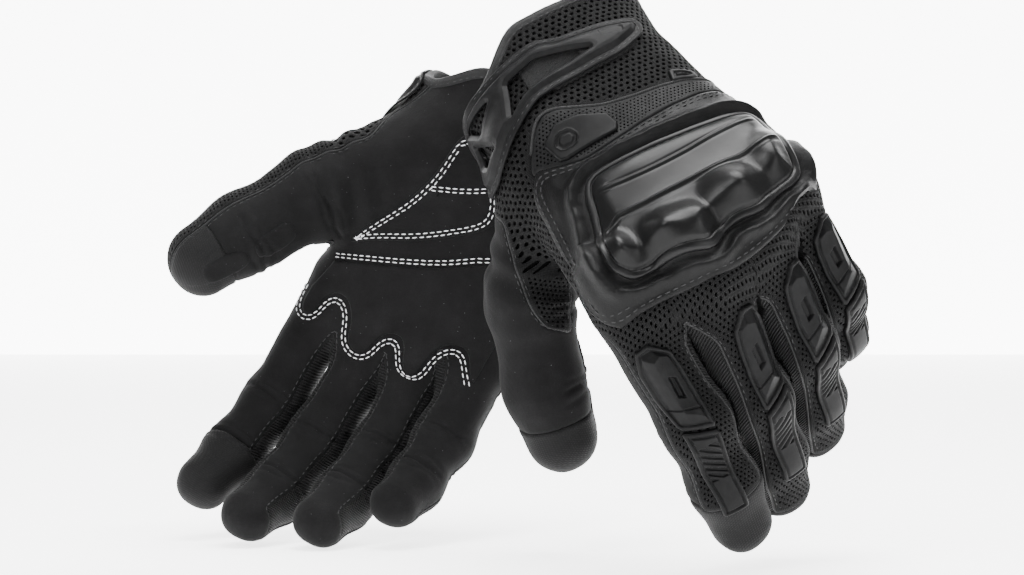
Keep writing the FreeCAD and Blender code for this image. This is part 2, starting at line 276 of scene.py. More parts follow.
def cut(m, field):
    """Keeps the part of a mesh where field is below zero, with a clean edge."""
    if len(m.f) == 0:
        return m
    field = np.where(np.abs(field) < 1e-6, 1e-6, field)
    inside = field < 0
    count = inside[m.f].sum(1)
    faces, pairs, corners = [m.f[count == 3]], [], []
    for wanted, lone in ((1, True), (2, False)):
        f = m.f[count == wanted]
        if len(f) == 0:
            continue
        first = np.argmax(inside[f] == lone, axis=1)
        rows = np.arange(len(f))
        a, b, c = (f[rows, (first + k) % 3] for k in range(3))
        pairs += [np.stack([a, b], 1), np.stack([a, c], 1)]
        corners.append((lone, a, b, c))
    if not pairs:
        return compact(m.p, m.d, faces[0])
    stacked = np.concatenate(pairs)
    edges, where = np.unique(np.sort(stacked, axis=1), axis=0, return_inverse=True)
    where = where.reshape(-1) + len(m.p)
    a, b = edges.T
    share = (field[a] / (field[a] - field[b]))[:, None]
    points = np.vstack([m.p, m.p[a] + share * (m.p[b] - m.p[a])])
    data = np.vstack([m.d, m.d[a] + share * (m.d[b] - m.d[a])])
    start = 0
    for lone, a, b, c in corners:
        ab, ac = where[start:start + len(a)], where[start + len(a):start + 2 * len(a)]
        start += 2 * len(a)
        if lone:
            faces.append(np.stack([a, ab, ac], 1))
        else:
            faces += [np.stack([ab, b, c], 1), np.stack([ab, c, ac], 1)]
    return compact(points, data, np.concatenate(faces))


def refine(m, times=1):
    """Splits every triangle into four, as many times as asked."""
    for _ in range(times):
        if len(m.f) == 0:
            return m
        sides = np.sort(np.concatenate([m.f[:, [0, 1]], m.f[:, [1, 2]], m.f[:, [2, 0]]]), axis=1)
        edges, where = np.unique(sides, axis=0, return_inverse=True)
        ab, bc, ca = (where.reshape(-1) + len(m.p)).reshape(3, -1)
        a, b, c = m.f.T
        points = np.vstack([m.p, m.p[edges].mean(1)])
        data = np.vstack([m.d, m.d[edges].mean(1)])
        faces = [np.stack(x, 1) for x in ((a, ab, ca), (ab, b, bc), (ca, bc, c), (ab, bc, ca))]
        m = Mesh(points, data, np.concatenate(faces))
    return m


def face_normals(points, faces):
    total = np.zeros_like(points)
    a, b, c = (points[faces[:, k]] for k in range(3))
    flat = np.cross(b - a, c - a)
    for k in range(3):
        np.add.at(total, faces[:, k], flat)
    return total / np.maximum(np.linalg.norm(total, axis=1), 1e-12)[:, None]


def joined(meshes):
    meshes = [m for m in meshes if len(m.f)]
    if not meshes:
        return Mesh(np.zeros((0, 3)), np.zeros((0, len(COLUMNS))), np.zeros((0, 3), int))
    starts = np.cumsum([0] + [len(m.p) for m in meshes[:-1]])
    return Mesh(np.vstack([m.p for m in meshes]), np.vstack([m.d for m in meshes]),
                np.vstack([m.f + s for m, s in zip(meshes, starts)]))


def outline_edges(m):
    """The edges that belong to one triangle only, in the direction of that triangle."""
    sides = np.concatenate([m.f[:, [0, 1]], m.f[:, [1, 2]], m.f[:, [2, 0]]])
    _, first, count = np.unique(np.sort(sides, axis=1), axis=0, return_index=True, return_counts=True)
    return sides[first[count == 1]]


def raised(m, height, skirt=1.3, under=None):
    """A cloth or moulded piece: the mesh moved out by height, with walls at its edges and perhaps an underside."""
    if len(m.f) == 0:
        return m
    bottom = m.p + m.n * (under if under is not None else 0.0)
    top = Mesh(m.p + m.n * np.broadcast_to(height, len(m.p))[:, None], m.d.copy(), m.f)
    out = m.n.copy()
    top.d[:, :3] = face_normals(top.p, top.f)
    edges = outline_edges(m)
    i, j = edges.T
    across = np.cross(top.p[j] - top.p[i], out[i])
    across /= lengths(across)
    side = np.zeros_like(top.p)
    np.add.at(side, i, across)
    np.add.at(side, j, across)
    rim = np.unique(edges)
    side = side[rim] / lengths(side[rim])
    number = np.zeros(len(m.p), int)
    number[rim] = np.arange(len(rim))
    low = bottom[rim] if under is not None else top.p[rim] - out[rim] * skirt
    data = top.d[rim].copy()
    data[:, :3] = side
    wall = Mesh(np.vstack([top.p[rim], low]), np.vstack([data, data]),
                np.vstack([np.stack([number[j], number[i], number[i] + len(rim)], 1),
                           np.stack([number[j], number[i] + len(rim), number[j] + len(rim)], 1)]))
    parts = [top, wall]
    if under is not None:
        base = Mesh(bottom, m.d.copy(), m.f[:, ::-1])
        base.d[:, :3] = -out
        parts.append(base)
    return joined(parts)


def surface(chains, low, high, step):
    """Points and triangles of the form's surface, one point in every grid cell that it crosses."""
    low, high = np.array(low, float), np.array(high, float)
    n = np.ceil((high - low) / step).astype(int) + 1
    y, z = np.meshgrid(low[1] + step * np.arange(n[1]), low[2] + step * np.arange(n[2]), indexing="ij")
    values = np.empty(n)
    for i in range(n[0]):
        p = np.stack([np.full(y.size, low[0] + step * i), y.ravel(), z.ravel()], 1)
        values[i] = glove_distance(p, chains).reshape(y.shape)
    inside = values < 0
    total = sum(inside[a:a + n[0] - 1, b:b + n[1] - 1, c:c + n[2] - 1].astype(np.int8)
                for a in (0, 1) for b in (0, 1) for c in (0, 1))
    active = (total > 0) & (total < 8)
    cells = np.argwhere(active)
    number = np.full(active.shape, -1)
    number[active] = np.arange(len(cells))
    place, hits = np.zeros((len(cells), 3)), np.zeros(len(cells))
    faces = []
    for axis in range(3):
        one, two = (np.eye(3, dtype=int)[(axis + k) % 3] for k in (1, 2))
        step_on = np.eye(3, dtype=int)[axis]
        for i in (0, 1):
            for j in (0, 1):
                start = cells + i * one + j * two
                a, b = values[tuple(start.T)], values[tuple((start + step_on).T)]
                cross = (a < 0) != (b < 0)
                share = np.where(cross, a / np.where(cross, a - b, 1), 0)
                place += cross[:, None] * (start + share[:, None] * step_on)
                hits += cross
        first = inside[tuple(slice(0, n[k] - step_on[k]) for k in range(3))]
        second = inside[tuple(slice(step_on[k], n[k]) for k in range(3))]
        crossing = np.argwhere(first != second)
        crossing = crossing[((crossing > 0) | (step_on == 1)).all(1) & (crossing < np.array(n) - 1).all(1)]
        ring = [number[tuple((crossing - i * one - j * two).T)] for i, j in ((0, 0), (1, 0), (1, 1), (0, 1))]
        flip = ~inside[tuple(crossing.T)]
        quad = np.stack(ring, 1)
        quad[flip] = quad[flip][:, ::-1]
        faces += [quad[:, [0, 1, 2]], quad[:, [0, 2, 3]]]
    return low + step * place / hits[:, None], np.concatenate(faces)


def gradient(points, chains, h=0.3):
    steps = [glove_distance(points + h * e, chains) - glove_distance(points - h * e, chains) for e in np.eye(3)]
    return np.stack(steps, 1) / (2 * h)


SECTION_ANGLES = np.linspace(-math.pi, math.pi, 721)


def section_arc(u, w):
    """Distance round the hand's section from the middle of the back towards the thumb side."""
    c, s = np.cos(SECTION_ANGLES), np.sin(SECTION_ANGLES)
    size = (np.abs(s / 39.5) ** 2.4 + np.abs(c / 22.5) ** 2.4) ** (-1 / 2.4)
    x, y = size * s, size * c
    run = np.concatenate([[0], np.cumsum(np.hypot(np.diff(x), np.diff(y)))])
    return np.interp(np.arctan2(u, w), SECTION_ANGLES, run - run[360])


def blend_of(a, b, k):
    return a * (1 - k) + b * k


def angle_of(s, b):
    return np.degrees(np.arctan2(s, b))


MESH_EDGE = {"index": (71, 33), "middle": (34, 34), "ring": (34, 34), "pinky": (33, 71)}
FRONT_EDGE = {"index": (71, 134), "middle": (134, 134), "ring": (134, 134), "pinky": (134, 71)}
CAP_LENGTH = {"index": 27, "middle": 8, "ring": 8, "pinky": 8}


def finger_fields(name, t, s, b):
    """Two seams round a finger: the edges of the mesh back and of the suede front. Above zero is outside."""
    ang, r = angle_of(s, b), np.hypot(s, b)
    widen = 26 * (1 - smooth_step(t, 4, 18)) + 0.22 * np.clip(t, 0, 80)
    plus, minus = ((a + (widen if a < 60 else 0)) for a in MESH_EDGE[name])
    cap = t - (sum(BONES[name]) - CAP_LENGTH[name])
    gd = np.maximum(r * np.radians(ang - plus), r * np.radians(-minus - ang))
    plus, minus = FRONT_EDGE[name]
    gf = np.maximum(r * np.radians(ang - plus), r * np.radians(-minus - ang))
    return np.maximum(gd, cap), np.maximum(gf, cap)


def thumb_field(t, s, b):
    """The suede of the thumb. Above zero is suede, below zero mesh."""
    ang, r = angle_of(s, b), np.hypot(s, b)
    web = np.interp(t, (10, 22, 33, 42, 49, 54, 60), (-30, -46, -66, -83, -98, -133, -181))
    on_top = np.minimum(np.minimum(r * np.radians(ang - web), r * np.radians(35 - ang)), t - 12)
    below = np.maximum(r * np.radians(ang - 86), r * np.radians(-133 - ang))
    return np.maximum(np.maximum(on_top, below), np.where(ang < -60, t - 58, -9))


def along_chain(points, c):
    """Place along a chain's smoothed middle line, the side and back offsets from it, and how far it has turned.

    The middle line is rounded at the joints, so that nothing jumps there.
    """
    gap, before, after = 0.5, 140, 20
    line = [c.points[0] - c.straight * x for x in np.arange(before, 0, -gap)]
    for i, length in enumerate(c.bones):
        last = length + (after if i == len(c.bones) - 1 else 0)
        line += [c.points[i] + c.along[i] * x for x in np.arange(0, last, gap)]
    line = np.array(line)
    kernel = np.exp(-np.linspace(-2.4, 2.4, 49) ** 2 / 2)
    ends = np.vstack([line[0] + (line[0] - line[1]) * np.arange(24, 0, -1)[:, None], line,
                      line[-1] + (line[-1] - line[-2]) * np.arange(1, 25)[:, None]])
    smooth = np.stack([np.convolve(ends[:, k], kernel / kernel.sum(), "valid") for k in range(3)], 1)
    run = travelled(smooth)
    run *= (before + sum(c.bones) + after) / run[-1]
    tangent = np.gradient(smooth, axis=0)
    tangent /= np.linalg.norm(tangent, axis=1)[:, None]
    nearest = np.empty(len(points), int)
    square = (smooth**2).sum(1)
    for i in range(0, len(points), 20000):
        some = points[i:i + 20000]
        nearest[i:i + 20000] = np.argmin(square[None] - 2 * some @ smooth.T, axis=1)
    rel = points - smooth[nearest]
    step = (rel * tangent[nearest]).sum(1)
    t = run[nearest] - before + np.clip(step, -1.0, 1.0)
    back = np.cross(c.side, tangent[nearest])
    turned = np.arccos(np.clip(tangent[nearest] @ c.straight, -1, 1))
    return np.stack([t, rel @ c.side, (rel * back).sum(1), turned])


def hand_over(c, thumb):
    """Where a finger starts to turn away from the hand: the two points that its bending runs between."""
    if thumb:
        return c.points[1] - c.along[0] * 12, c.points[1] + c.along[1] * 12
    return c.points[0] - c.straight * 10, c.points[0] + c.along[0] * 14


def cuff_line(u, w):
    """Where the cuff ends along v. It is cut back at the thumb side, under the strap."""
    return -30.0 + 4.0 * smooth_step(-w, -6, 10) + 13.0 * smooth_step(u, 8, 33)


def wobble(p, scale, seed):
    """Soft unevenness between -1 and 1."""
    rng = np.random.default_rng(seed)
    total = np.zeros(len(p))
    for _ in range(7):
        direction = unit(rng.normal(size=3)) * 2 * math.pi / scale
        total += np.sin(p @ direction * rng.uniform(0.6, 1.5) + rng.uniform(0, 6.3))
    return total / 3.2


def form(glove):
    """The glove's form as one mesh with its columns of data, and the chains that it is made from."""
    chains = {name: finger_chain(glove, name) for name in FINGERS}
    chains["thumb"] = thumb_chain(glove)
    ends = np.vstack([c.points for c in chains.values()])
    low = np.minimum(ends.min(0) - 20, (-52, -40, -32))
    high = np.maximum(ends.max(0) + 20, (56, 0, 32))
    low[1] = -40
    points, faces = surface(chains, low, high, STEP)
    for _ in range(2):
        g = gradient(points, chains)
        points = points - g * (glove_distance(points, chains) / np.maximum((g * g).sum(1), 0.2))[:, None]
    normals = gradient(points, chains, 0.5)
    normals /= np.linalg.norm(normals, axis=1)[:, None]
    data = np.zeros((len(points), len(COLUMNS)))
    m = Mesh(points, data, faces)
    m.d[:, :3] = normals

    def put(name, value):
        data[:, COLUMNS.index(name)] = value

    hand = hand_distance(points)
    reach, place = {}, {}
    for name, c in chains.items():
        reach[name] = chain_distance(points, c)[0]
        place[name] = along_chain(points, c)
    fingers = np.stack([reach[name] for name in FINGERS])
    order = np.argmin(fingers, axis=0)
    t, s, b, turned = (np.choose(order, [place[name][k] for name in FINGERS]) for k in range(4))
    u, v, w = points.T
    radial = smooth_step(u, 14, 30) * smooth_step(62 - v, 0, 24)
    hand_seam = -3 - 14 * radial - w
    k = smooth_step(t, -8, 8)
    both = [finger_fields(name, *place[name][:3]) for name in FINGERS]
    gd = blend_of(hand_seam, np.choose(order, [x[0] for x in both]), k)
    gf = blend_of(hand_seam, np.choose(order, [x[1] for x in both]), k)
    tt, ts, tb, thumb_turned = place["thumb"]
    nearest = np.minimum(hand, fingers.min(0))
    on_thumb = smooth_step(nearest - reach["thumb"], -6, 4) * smooth_step(tt, 0, 16)
    suede = thumb_field(tt, ts, tb)
    gd, gf = blend_of(gd, suede, on_thumb), blend_of(gf, suede, on_thumb)
    before = {}
    for name, c in chains.items():
        start, end = hand_over(c, name == "thumb")
        before[name] = (points - start) @ unit(end - start)
    thumb = np.maximum(-before["thumb"], reach["thumb"] - nearest)
    for i, name in enumerate(FINGERS):
        others = np.delete(fingers, i, axis=0).min(0)
        put("lane_" + name, fingers[i] - others)
        put("t_" + name, place[name][0])
        put("root_" + name, before[name])
    put("reach", t)
    mine = (thumb < 0) | (on_thumb > 0.5)
    t, s, b, turned = (np.where(mine, x, y) for x, y in ((tt, t), (ts, s), (tb, b), (thumb_turned, turned)))
    q = section_arc(u, w)
    r = np.hypot(s, b)
    arc = np.where((t > -9) | mine, r * np.radians(angle_of(s, b)), q)
    along = np.where((t > -9) | mine, t + b * turned, v)
    for name, value in (("t", along), ("s", s), ("b", b), ("r", r), ("arc", arc), ("q", q), ("gd", gd), ("gf", gf),
                        ("thumb", thumb), ("tt", tt), ("ts", ts), ("tb", tb), ("cuff", cuff_line(u, w) - v)):
        put(name, value)
    # A worn look: low waves all over, and creases across the front of every joint.
    ease = 0.34 * wobble(points, 34, 3) + 0.16 * wobble(points, 13, 5)
    front = smooth_step(-np.where(mine, tb, b), 2, 8)
    for name, c in chains.items():
        here = reach[name] < 2.5
        tl = place[name][0]
        for joint in (c.bones[0], c.bones[0] + c.bones[1]):
            for shift, depth in ((-4.2, 0.45), (0.0, 1.0), (4.0, 0.5)):
                bend = 0.8 * np.sin(place[name][1] * 0.35 + shift)
                ease -= here * front * depth * np.exp(-(((tl - joint - shift + bend) / 1.25) ** 2))
    crotch = np.exp(-(((tt - 30) / 16) ** 2)) * smooth_step(-w, 8, 18) * np.exp(-((reach["thumb"] / 6) ** 2))
    ease += crotch * 0.7 * np.sin(tt * 0.55 + ts * 0.12)
    m.p = points + normals * ease[:, None]
    return cut(m, m["cuff"]), chains


# ---------------------------------------------------------------- outlines, lines and stitches


def rounded(outline, times=2, share=0.2):
    """The outline with its corners cut, again and again."""
    p = np.array(outline, float)
    for _ in range(times):
        q = np.roll(p, -1, axis=0)
        p = np.stack([(1 - share) * p + share * q, share * p + (1 - share) * q], 1).reshape(-1, 2)
    return p


def inside_of(x, y, outline):
    """Distance to a closed outline, below zero inside it."""
    p = np.array(outline, float)
    q = np.roll(p, -1, axis=0)
    best, odd = np.full(len(x), 1e9), np.zeros(len(x), bool)
    for (ax, ay), (bx, by) in zip(p, q):
        ex, ey = bx - ax, by - ay
        share = np.clip(((x - ax) * ex + (y - ay) * ey) / max(ex * ex + ey * ey, 1e-9), 0, 1)
        best = np.minimum(best, (x - ax - share * ex) ** 2 + (y - ay - share * ey) ** 2)
        if ay != by:
            odd ^= ((ay > y) != (by > y)) & (x < ax + (y - ay) * ex / ey)
    return np.where(odd, -1, 1) * np.sqrt(best)


def line_distance(x, y, path):
    p = np.array(path, float)
    best = np.full(len(x), 1e9)
    for (ax, ay), (bx, by) in zip(p[:-1], p[1:]):
        ex, ey = bx - ax, by - ay
        share = np.clip(((x - ax) * ex + (y - ay) * ey) / max(ex * ex + ey * ey, 1e-9), 0, 1)
        best = np.minimum(best, np.hypot(x - ax - share * ex, y - ay - share * ey))
    return best


def contours(m, field):
    """The lines on a mesh where field is zero, each as rows of point and data."""
    if len(m.f) == 0:
        return []
    inside = field < 0
    count = inside[m.f].sum(1)
    links = {}
    for f in m.f[(count == 1) | (count == 2)]:
        sides = [(f[k], f[(k + 1) % 3]) for k in range(3)]
        crossing = [tuple(sorted(side)) for side in sides if inside[side[0]] != inside[side[1]]]
        links.setdefault(crossing[0], []).append(crossing[1])
        links.setdefault(crossing[1], []).append(crossing[0])
    whole = np.hstack([m.p, m.d])
    lines, left = [], set(links)
    while left:
        ends = [e for e in left if len(links[e]) == 1]
        now = ends[0] if ends else next(iter(left))
        run = [now]
        left.discard(now)
        while True:
            ahead = [e for e in links[now] if e in left]
            if not ahead:
                break
            now = ahead[0]
            left.discard(now)
            run.append(now)
        closed = len(run) > 4 and run[0] in links[run[-1]]
        if closed:
            run.append(run[0])
        a, b = np.array(run).T
        share = (field[a] / (field[a] - field[b]))[:, None]
        lines.append(whole[a] + share * (whole[b] - whole[a]))
        if not ends and not left:
            break
    return lines


def resampled(line, gap):
    """A line with points at an even gap, smoothed a little."""
    run = travelled(line[:, :3])
    if run[-1] < gap * 3:
        return None
    places = np.arange(gap / 2, run[-1], gap)
    out = np.stack([np.interp(places, run, line[:, k]) for k in range(line.shape[1])], 1)
    if len(out) > 5:
        for _ in range(2):
            out[1:-1] = 0.25 * out[:-2] + 0.5 * out[1:-1] + 0.25 * out[2:]
    return out


ON_FORM_GAP, ON_FORM_REACH = 1.2, 1.7


def on_form(base, path, below):
    """A path of (u, v) laid on the back or the palm of the form. Points with no cloth close to them are left out."""
    flat = base.p[:, :2]
    side = (base.p[:, 2] < 0) if below else (base.p[:, 2] > 0)
    ids = np.flatnonzero(side & (base["thumb"] > 0) & (base["reach"] < 14) & (base.p[:, 2] > -29))
    p = np.array(path, float)
    run = travelled(p)
    places = np.arange(0, run[-1], ON_FORM_GAP)
    p = np.stack([np.interp(places, run, p[:, k]) for k in (0, 1)], 1)
    out = []
    for x in p:
        near = ids[np.argsort(((flat[ids] - x) ** 2).sum(1))[:4]]
        if ((flat[near[0]] - x) ** 2).sum() > ON_FORM_REACH:
            continue
        weight = 1 / (((flat[near] - x) ** 2).sum(1) + 0.05)
        out.append((np.hstack([base.p[near], base.d[near]]) * weight[:, None]).sum(0) / weight.sum())
        out[-1][:2] = x
    return np.array(out)


def softened(path, times=3):
    """An open path with its corners rounded."""
    p = np.array(path, float)
    for _ in range(times):
        q = np.stack([0.75 * p[:-1] + 0.25 * p[1:], 0.25 * p[:-1] + 0.75 * p[1:]], 1).reshape(-1, 2)
        p = np.vstack([p[:1], q, p[-1:]])
    return p


def beside(path, offset):
    """The path moved sideways."""
    p = np.array(path, float)
    along = np.gradient(p, axis=0)
    along /= lengths(along)
    return p + np.stack([-along[:, 1], along[:, 0]], 1) * offset


def frames_along(line):
    along = np.gradient(line[:, :3], axis=0)
    along /= lengths(along)
    out = line[:, 3:6] - along * (line[:, 3:6] * along).sum(1)[:, None]
    out /= lengths(out)
    return along, out, np.cross(along, out)


def one_lane(rows):
    """Gives every row of a line to exactly one finger's side of the hand, so that no stitch is lost between two."""
    first = 3 + COLUMNS.index("lane_index")
    lanes = rows[:, first:first + 4]
    mine = np.arange(4)[None] == np.argmin(lanes, axis=1)[:, None]
    rows[:, first:first + 4] = np.where(mine, np.minimum(lanes, -0.5), np.maximum(lanes, 0.5))
    return rows


def tube_faces(rings, sides):
    """The triangles between rings of points that follow each other."""
    faces = []
    for i in range(rings - 1):
        for j in range(sides):
            a, b = i * sides + j, i * sides + (j + 1) % sides
            faces += [(a, b, b + sides), (a, b + sides, a + sides)]
    return np.array(faces)


def stitches(lines, lift, length, gap, radius):
    """Separate stitches along lines that lie on the cloth. Each is a short thread that dips in at both ends."""
    rings, sides = 7, 6
    x = np.linspace(-1, 1, rings)[None, :, None, None]
    size = np.sqrt(np.clip(1 - np.abs(x) ** 3, 0.02, 1))
    turn = np.linspace(0, 2 * math.pi, sides, endpoint=False)[None, None, :, None]
    template = tube_faces(rings, sides)
    parts = []
    for line in lines:
        dots = resampled(line, length + gap)
        if dots is None:
            continue
        dots = one_lane(dots)
        along, out, across = frames_along(dots)
        rng = np.random.default_rng(len(dots))
        skew = rng.normal(0, 0.05, len(dots))[:, None]
        along = along + across * skew
        middle, half, out, across = (
            rows[:, None, None, :] for rows in (dots[:, :3] + out * lift, along * length / 2, out, across))
        ring = out * np.cos(turn) + across * np.sin(turn)
        p = middle + half * x + ring * (radius * size) - out * (0.55 * radius * x**2)
        n = np.broadcast_to(ring, p.shape)
        rows = rings * sides
        data = np.repeat(dots[:, 3:], rows, axis=0)
        data[:, :3] = n.reshape(-1, 3)
        faces = (template[None] + (np.arange(len(dots)) * rows)[:, None, None]).reshape(-1, 3)
        parts.append(Mesh(p.reshape(-1, 3), data, faces))
    return joined(parts)


def tube(lines, lift, radius, gap=0.9, sides=8):
    """Piping along lines."""
    parts = []
    turn = np.linspace(0, 2 * math.pi, sides, endpoint=False)
    for line in lines:
        dots = resampled(line, gap)
        if dots is None or len(dots) < 5:
            continue
        closed = np.linalg.norm(dots[0, :3] - dots[-1, :3]) < 3 * gap
        if closed:
            dots = np.vstack([dots, dots[:1]])
        _, out, across = frames_along(dots)
        ring = out[:, None] * np.cos(turn)[None, :, None] + across[:, None] * np.sin(turn)[None, :, None]
        p = (dots[:, :3] + out * lift)[:, None] + ring * radius
        if not closed:
            p[0], p[-1] = p[0].mean(0), p[-1].mean(0)
        data = np.repeat(dots[:, 3:], sides, axis=0)
        data[:, :3] = ring.reshape(-1, 3)
        parts.append(Mesh(p.reshape(-1, 3), data, tube_faces(len(dots), sides)))
    return joined(parts)

# ---------------------------------------------------------------- outlines on the glove, in millimetres

# On the back of the hand, as (u, v).
LEATHER = ((-49, 33), (-40, 33.5), (-20, 35.5), (-1, 37), (12, 38), (21, 38), (30, 33), (36, 28), (41, 34),
           (43, 49), (45.5, 64), (50, 82), (53, 90), (47, 97), (38, 100), (28, 101.5), (16, 104), (3, 105),
           (-8, 103.5), (-18, 101), (-28, 97), (-36, 93), (-43, 88), (-49, 80))
TRIM = ((-49, 26), (-38, 26), (-20, 26), (0, 23), (21, 13), (29, 17), (36, 26), (37, 29), (30, 34), (21, 39),
        (12, 39), (-1, 38), (-20, 36.5), (-40, 34.5), (-49, 34))
TRIM_EDGE = ((-41, 25.5), (-30, 26), (-20, 26), (0, 23), (12, 17.5), (20, 13.3), (25, 13.6), (29, 17), (34.5, 24))
GUARD = ((21, 46), (0, 48), (-20, 49.5), (-35, 50), (-39.5, 53), (-40.5, 68), (-38, 84), (-33, 88), (-24, 90.5),
         (-16, 94), (-6, 93), (-1, 94), (6, 98), (17, 95.5), (25, 93), (34, 91.5), (39, 86), (37.5, 76), (35, 70),
         (31, 60), (29, 53), (26, 48))
GUARD_CREST = ((34, 74), (25, 69.5), (15, 71), (-5, 72), (-20, 72.5), (-38, 71))
GUARD_LINE = ((24, 56), (10, 59), (-5, 59.5), (-20, 58.5), (-35, 57))
GUARD_BUMPS = ((32, 82, 4.9), (18, 84.5, 5.4), (2.5, 87, 5.8), (-13.5, 84.5, 5.6), (-29, 80, 5.2))
PLATE = ((29, 24), (22, 20), (13, 21), (4, 26), (3, 32), (5, 35), (27, 34))
PLATE_BADGE = ((24.5, 30.5), (19.5, 31), (17, 28), (18.5, 24.5), (23, 23.8), (25.8, 27))
TAB = ((-25, 19.5), (-34, 21.5), (-34, 25), (-31, 26.5), (-23, 26))
# Round the wrist, as (distance round the section, v).
STRAP = ((-29, -7), (-27, -9.5), (-12, -11.5), (0, -13.5), (8, -18), (28, -15.5), (50, -17), (66, -14), (68, -4),
         (62, 5), (55, 15), (47, 18), (37, 16), (27, 12), (18, 7), (0, 6), (-16, 5), (-26, 0), (-29, -4))
STRAP_HOLES = (((24, -8.5), (12, -10.5), (2, -6.5), (-7, -2), (6, -0.5), (16, 0.0), (22, 2.5), (28.5, 7)),
               ((32, -9), (49, -13), (42, -2)), ((38, 9), (50, -6), (52, 3), (47, 9)))
STRAP_SLOTS = (((-21, -6.5), (-12, -8), (-12, -4), (-20, -2)),)
# The outline of the loop tape under the strap.
LOOP = ((-27, -12), (18, -15), (20, 7), (-24, 5))
HOOK = ((-25, -5.5), (-12, -9), (0, -3), (-15, 2.5), (-24, -1))
# On the palm, as (u, v).
HEEL = ((8, -2), (13, 27), (38, 62), (24, 55), (8, 48), (-20, 30), (-15, 17), (-6, 4))
HEEL_LINE = ((11, 28), (-4, 23), (-15, 17))
PALM_TOP = ((38, 70), (32, 68), (10, 60), (-9, 52), (-23, 43), (-38, 40))
PALM_WAVE = ((43, 84), (43.5, 91), (40.5, 95.5), (36, 94), (35, 86), (31, 81), (24, 81), (19, 88), (18, 96),
             (13, 99.5), (8, 98), (6, 90), (2, 85.5), (-3, 84.5), (-6, 88), (-8, 95), (-12, 98), (-15, 96), (-16, 90),
             (-19, 81), (-26, 77), (-31, 79), (-35, 86), (-38, 89))
# On the thumb: how far along it, the angle round it, the half-length and the half-width.
THUMB_PATCHES = ((91, 165, 9.5, 5.0), (69, 165, 9.0, 5.2))

# How each finger guard sits across its finger, at its top and at its bottom, and its length next to the index one.
FINGER_GUARDS = {"index": (5.5, 4.5, 1.0), "middle": (-4.5, 0, 1.03), "ring": (-4.5, 0, 0.96),
                 "pinky": (-4, -1, 0.82)}
# The two parts of a finger guard, as (across, along), above and below the split line.
UPPER_GUARD = ((-0.5, 8.5), (-6.4, 14.5), (-7.2, 22), (-7.0, 32), (-5.9, 45.0), (5.8, 41.0), (7.2, 28), (7.0, 17),
               (4.6, 9.5))
LOWER_GUARD = ((-5.9, 45.6), (-5.3, 58), (-4.8, 77), (4.8, 77), (5.3, 58), (5.8, 41.6))
# How far along a finger or the thumb its pieces are cut, between the first body and the second.
MID_CUT = {"index": 23, "middle": 24, "ring": 22, "pinky": 20}
THUMB_CUT = 59
# Where the touch caps of the index finger and the thumb begin.
TOUCH_INDEX, TOUCH_THUMB = 72.5, 89.0
# Pitch and radius of the holes: in the mesh on the hand, in the mesh on the fingers, and in the trim band.
HAND_HOLES, FINGER_HOLES, TRIM_HOLES = (2.55, 0.72), (1.9, 0.5), (1.5, 0.36)


def smooth_back(m):
    """The same piece laid on an even curve over the back of the hand, without the knuckles' own bulges."""
    def height(u, v):
        a, b = np.interp(v, PROFILE_V, HALF_WIDTH) + 1.5, np.interp(v, PROFILE_V, HALF_THICK)
        w = b * (1 - np.minimum(np.abs(u) / a, 0.97) ** 2.4) ** (1 / 2.4)
        return w + 0.9 * smooth_step(v, 66, 84) - 4.0 * smooth_step(v, 94, 110)

    u, v = m.p[:, 0], m.p[:, 1]
    flat = np.stack([(height(u - 1, v) - height(u + 1, v)) / 2, (height(u, v - 1) - height(u, v + 1)) / 2,
                     np.ones(len(u))], 1)
    flat /= np.linalg.norm(flat, axis=1)[:, None]
    k = smooth_step(np.abs(u) / np.interp(v, PROFILE_V, HALF_WIDTH), 0.80, 0.93)[:, None]
    out = m.copy()
    over = -smooth_min(-height(u, v), -m.p[:, 2] - 0.3, 2.5)
    out.p = blend_of(np.stack([u, v, over], 1), m.p, k)
    n = blend_of(flat, m.n, k)
    out.d[:, :3] = n / np.linalg.norm(n, axis=1)[:, None]
    return out


def dome(inside, radius, height):
    """A rounded edge: zero at the border, height from radius on."""
    x = np.clip(inside / radius, 0, 1)
    return height * np.sqrt(np.clip(1 - (1 - x) ** 2, 0, 1))


def ridge(x, width, height):
    return height * np.exp(-((x / width) ** 2))


def hole_distance(x, y, pitch, jitter=0.0):
    """Distance to the nearest point of a honeycomb of holes."""
    row = pitch * 0.866
    middle = np.round(y / row)
    best = np.full(len(x), 99.0)
    for k in (-1, 0, 1):
        j = middle + k
        shift = 0.5 * (np.mod(j, 2))
        i = np.round(x / pitch - shift)
        dx = jitter * np.sin(i * 12.9 + j * 78.2)
        dy = jitter * np.sin(i * 39.3 + j * 11.1 + 2)
        best = np.minimum(best, np.hypot(x - (i + shift) * pitch - dx, y - j * row - dy))
    return best


# ---------------------------------------------------------------- materials


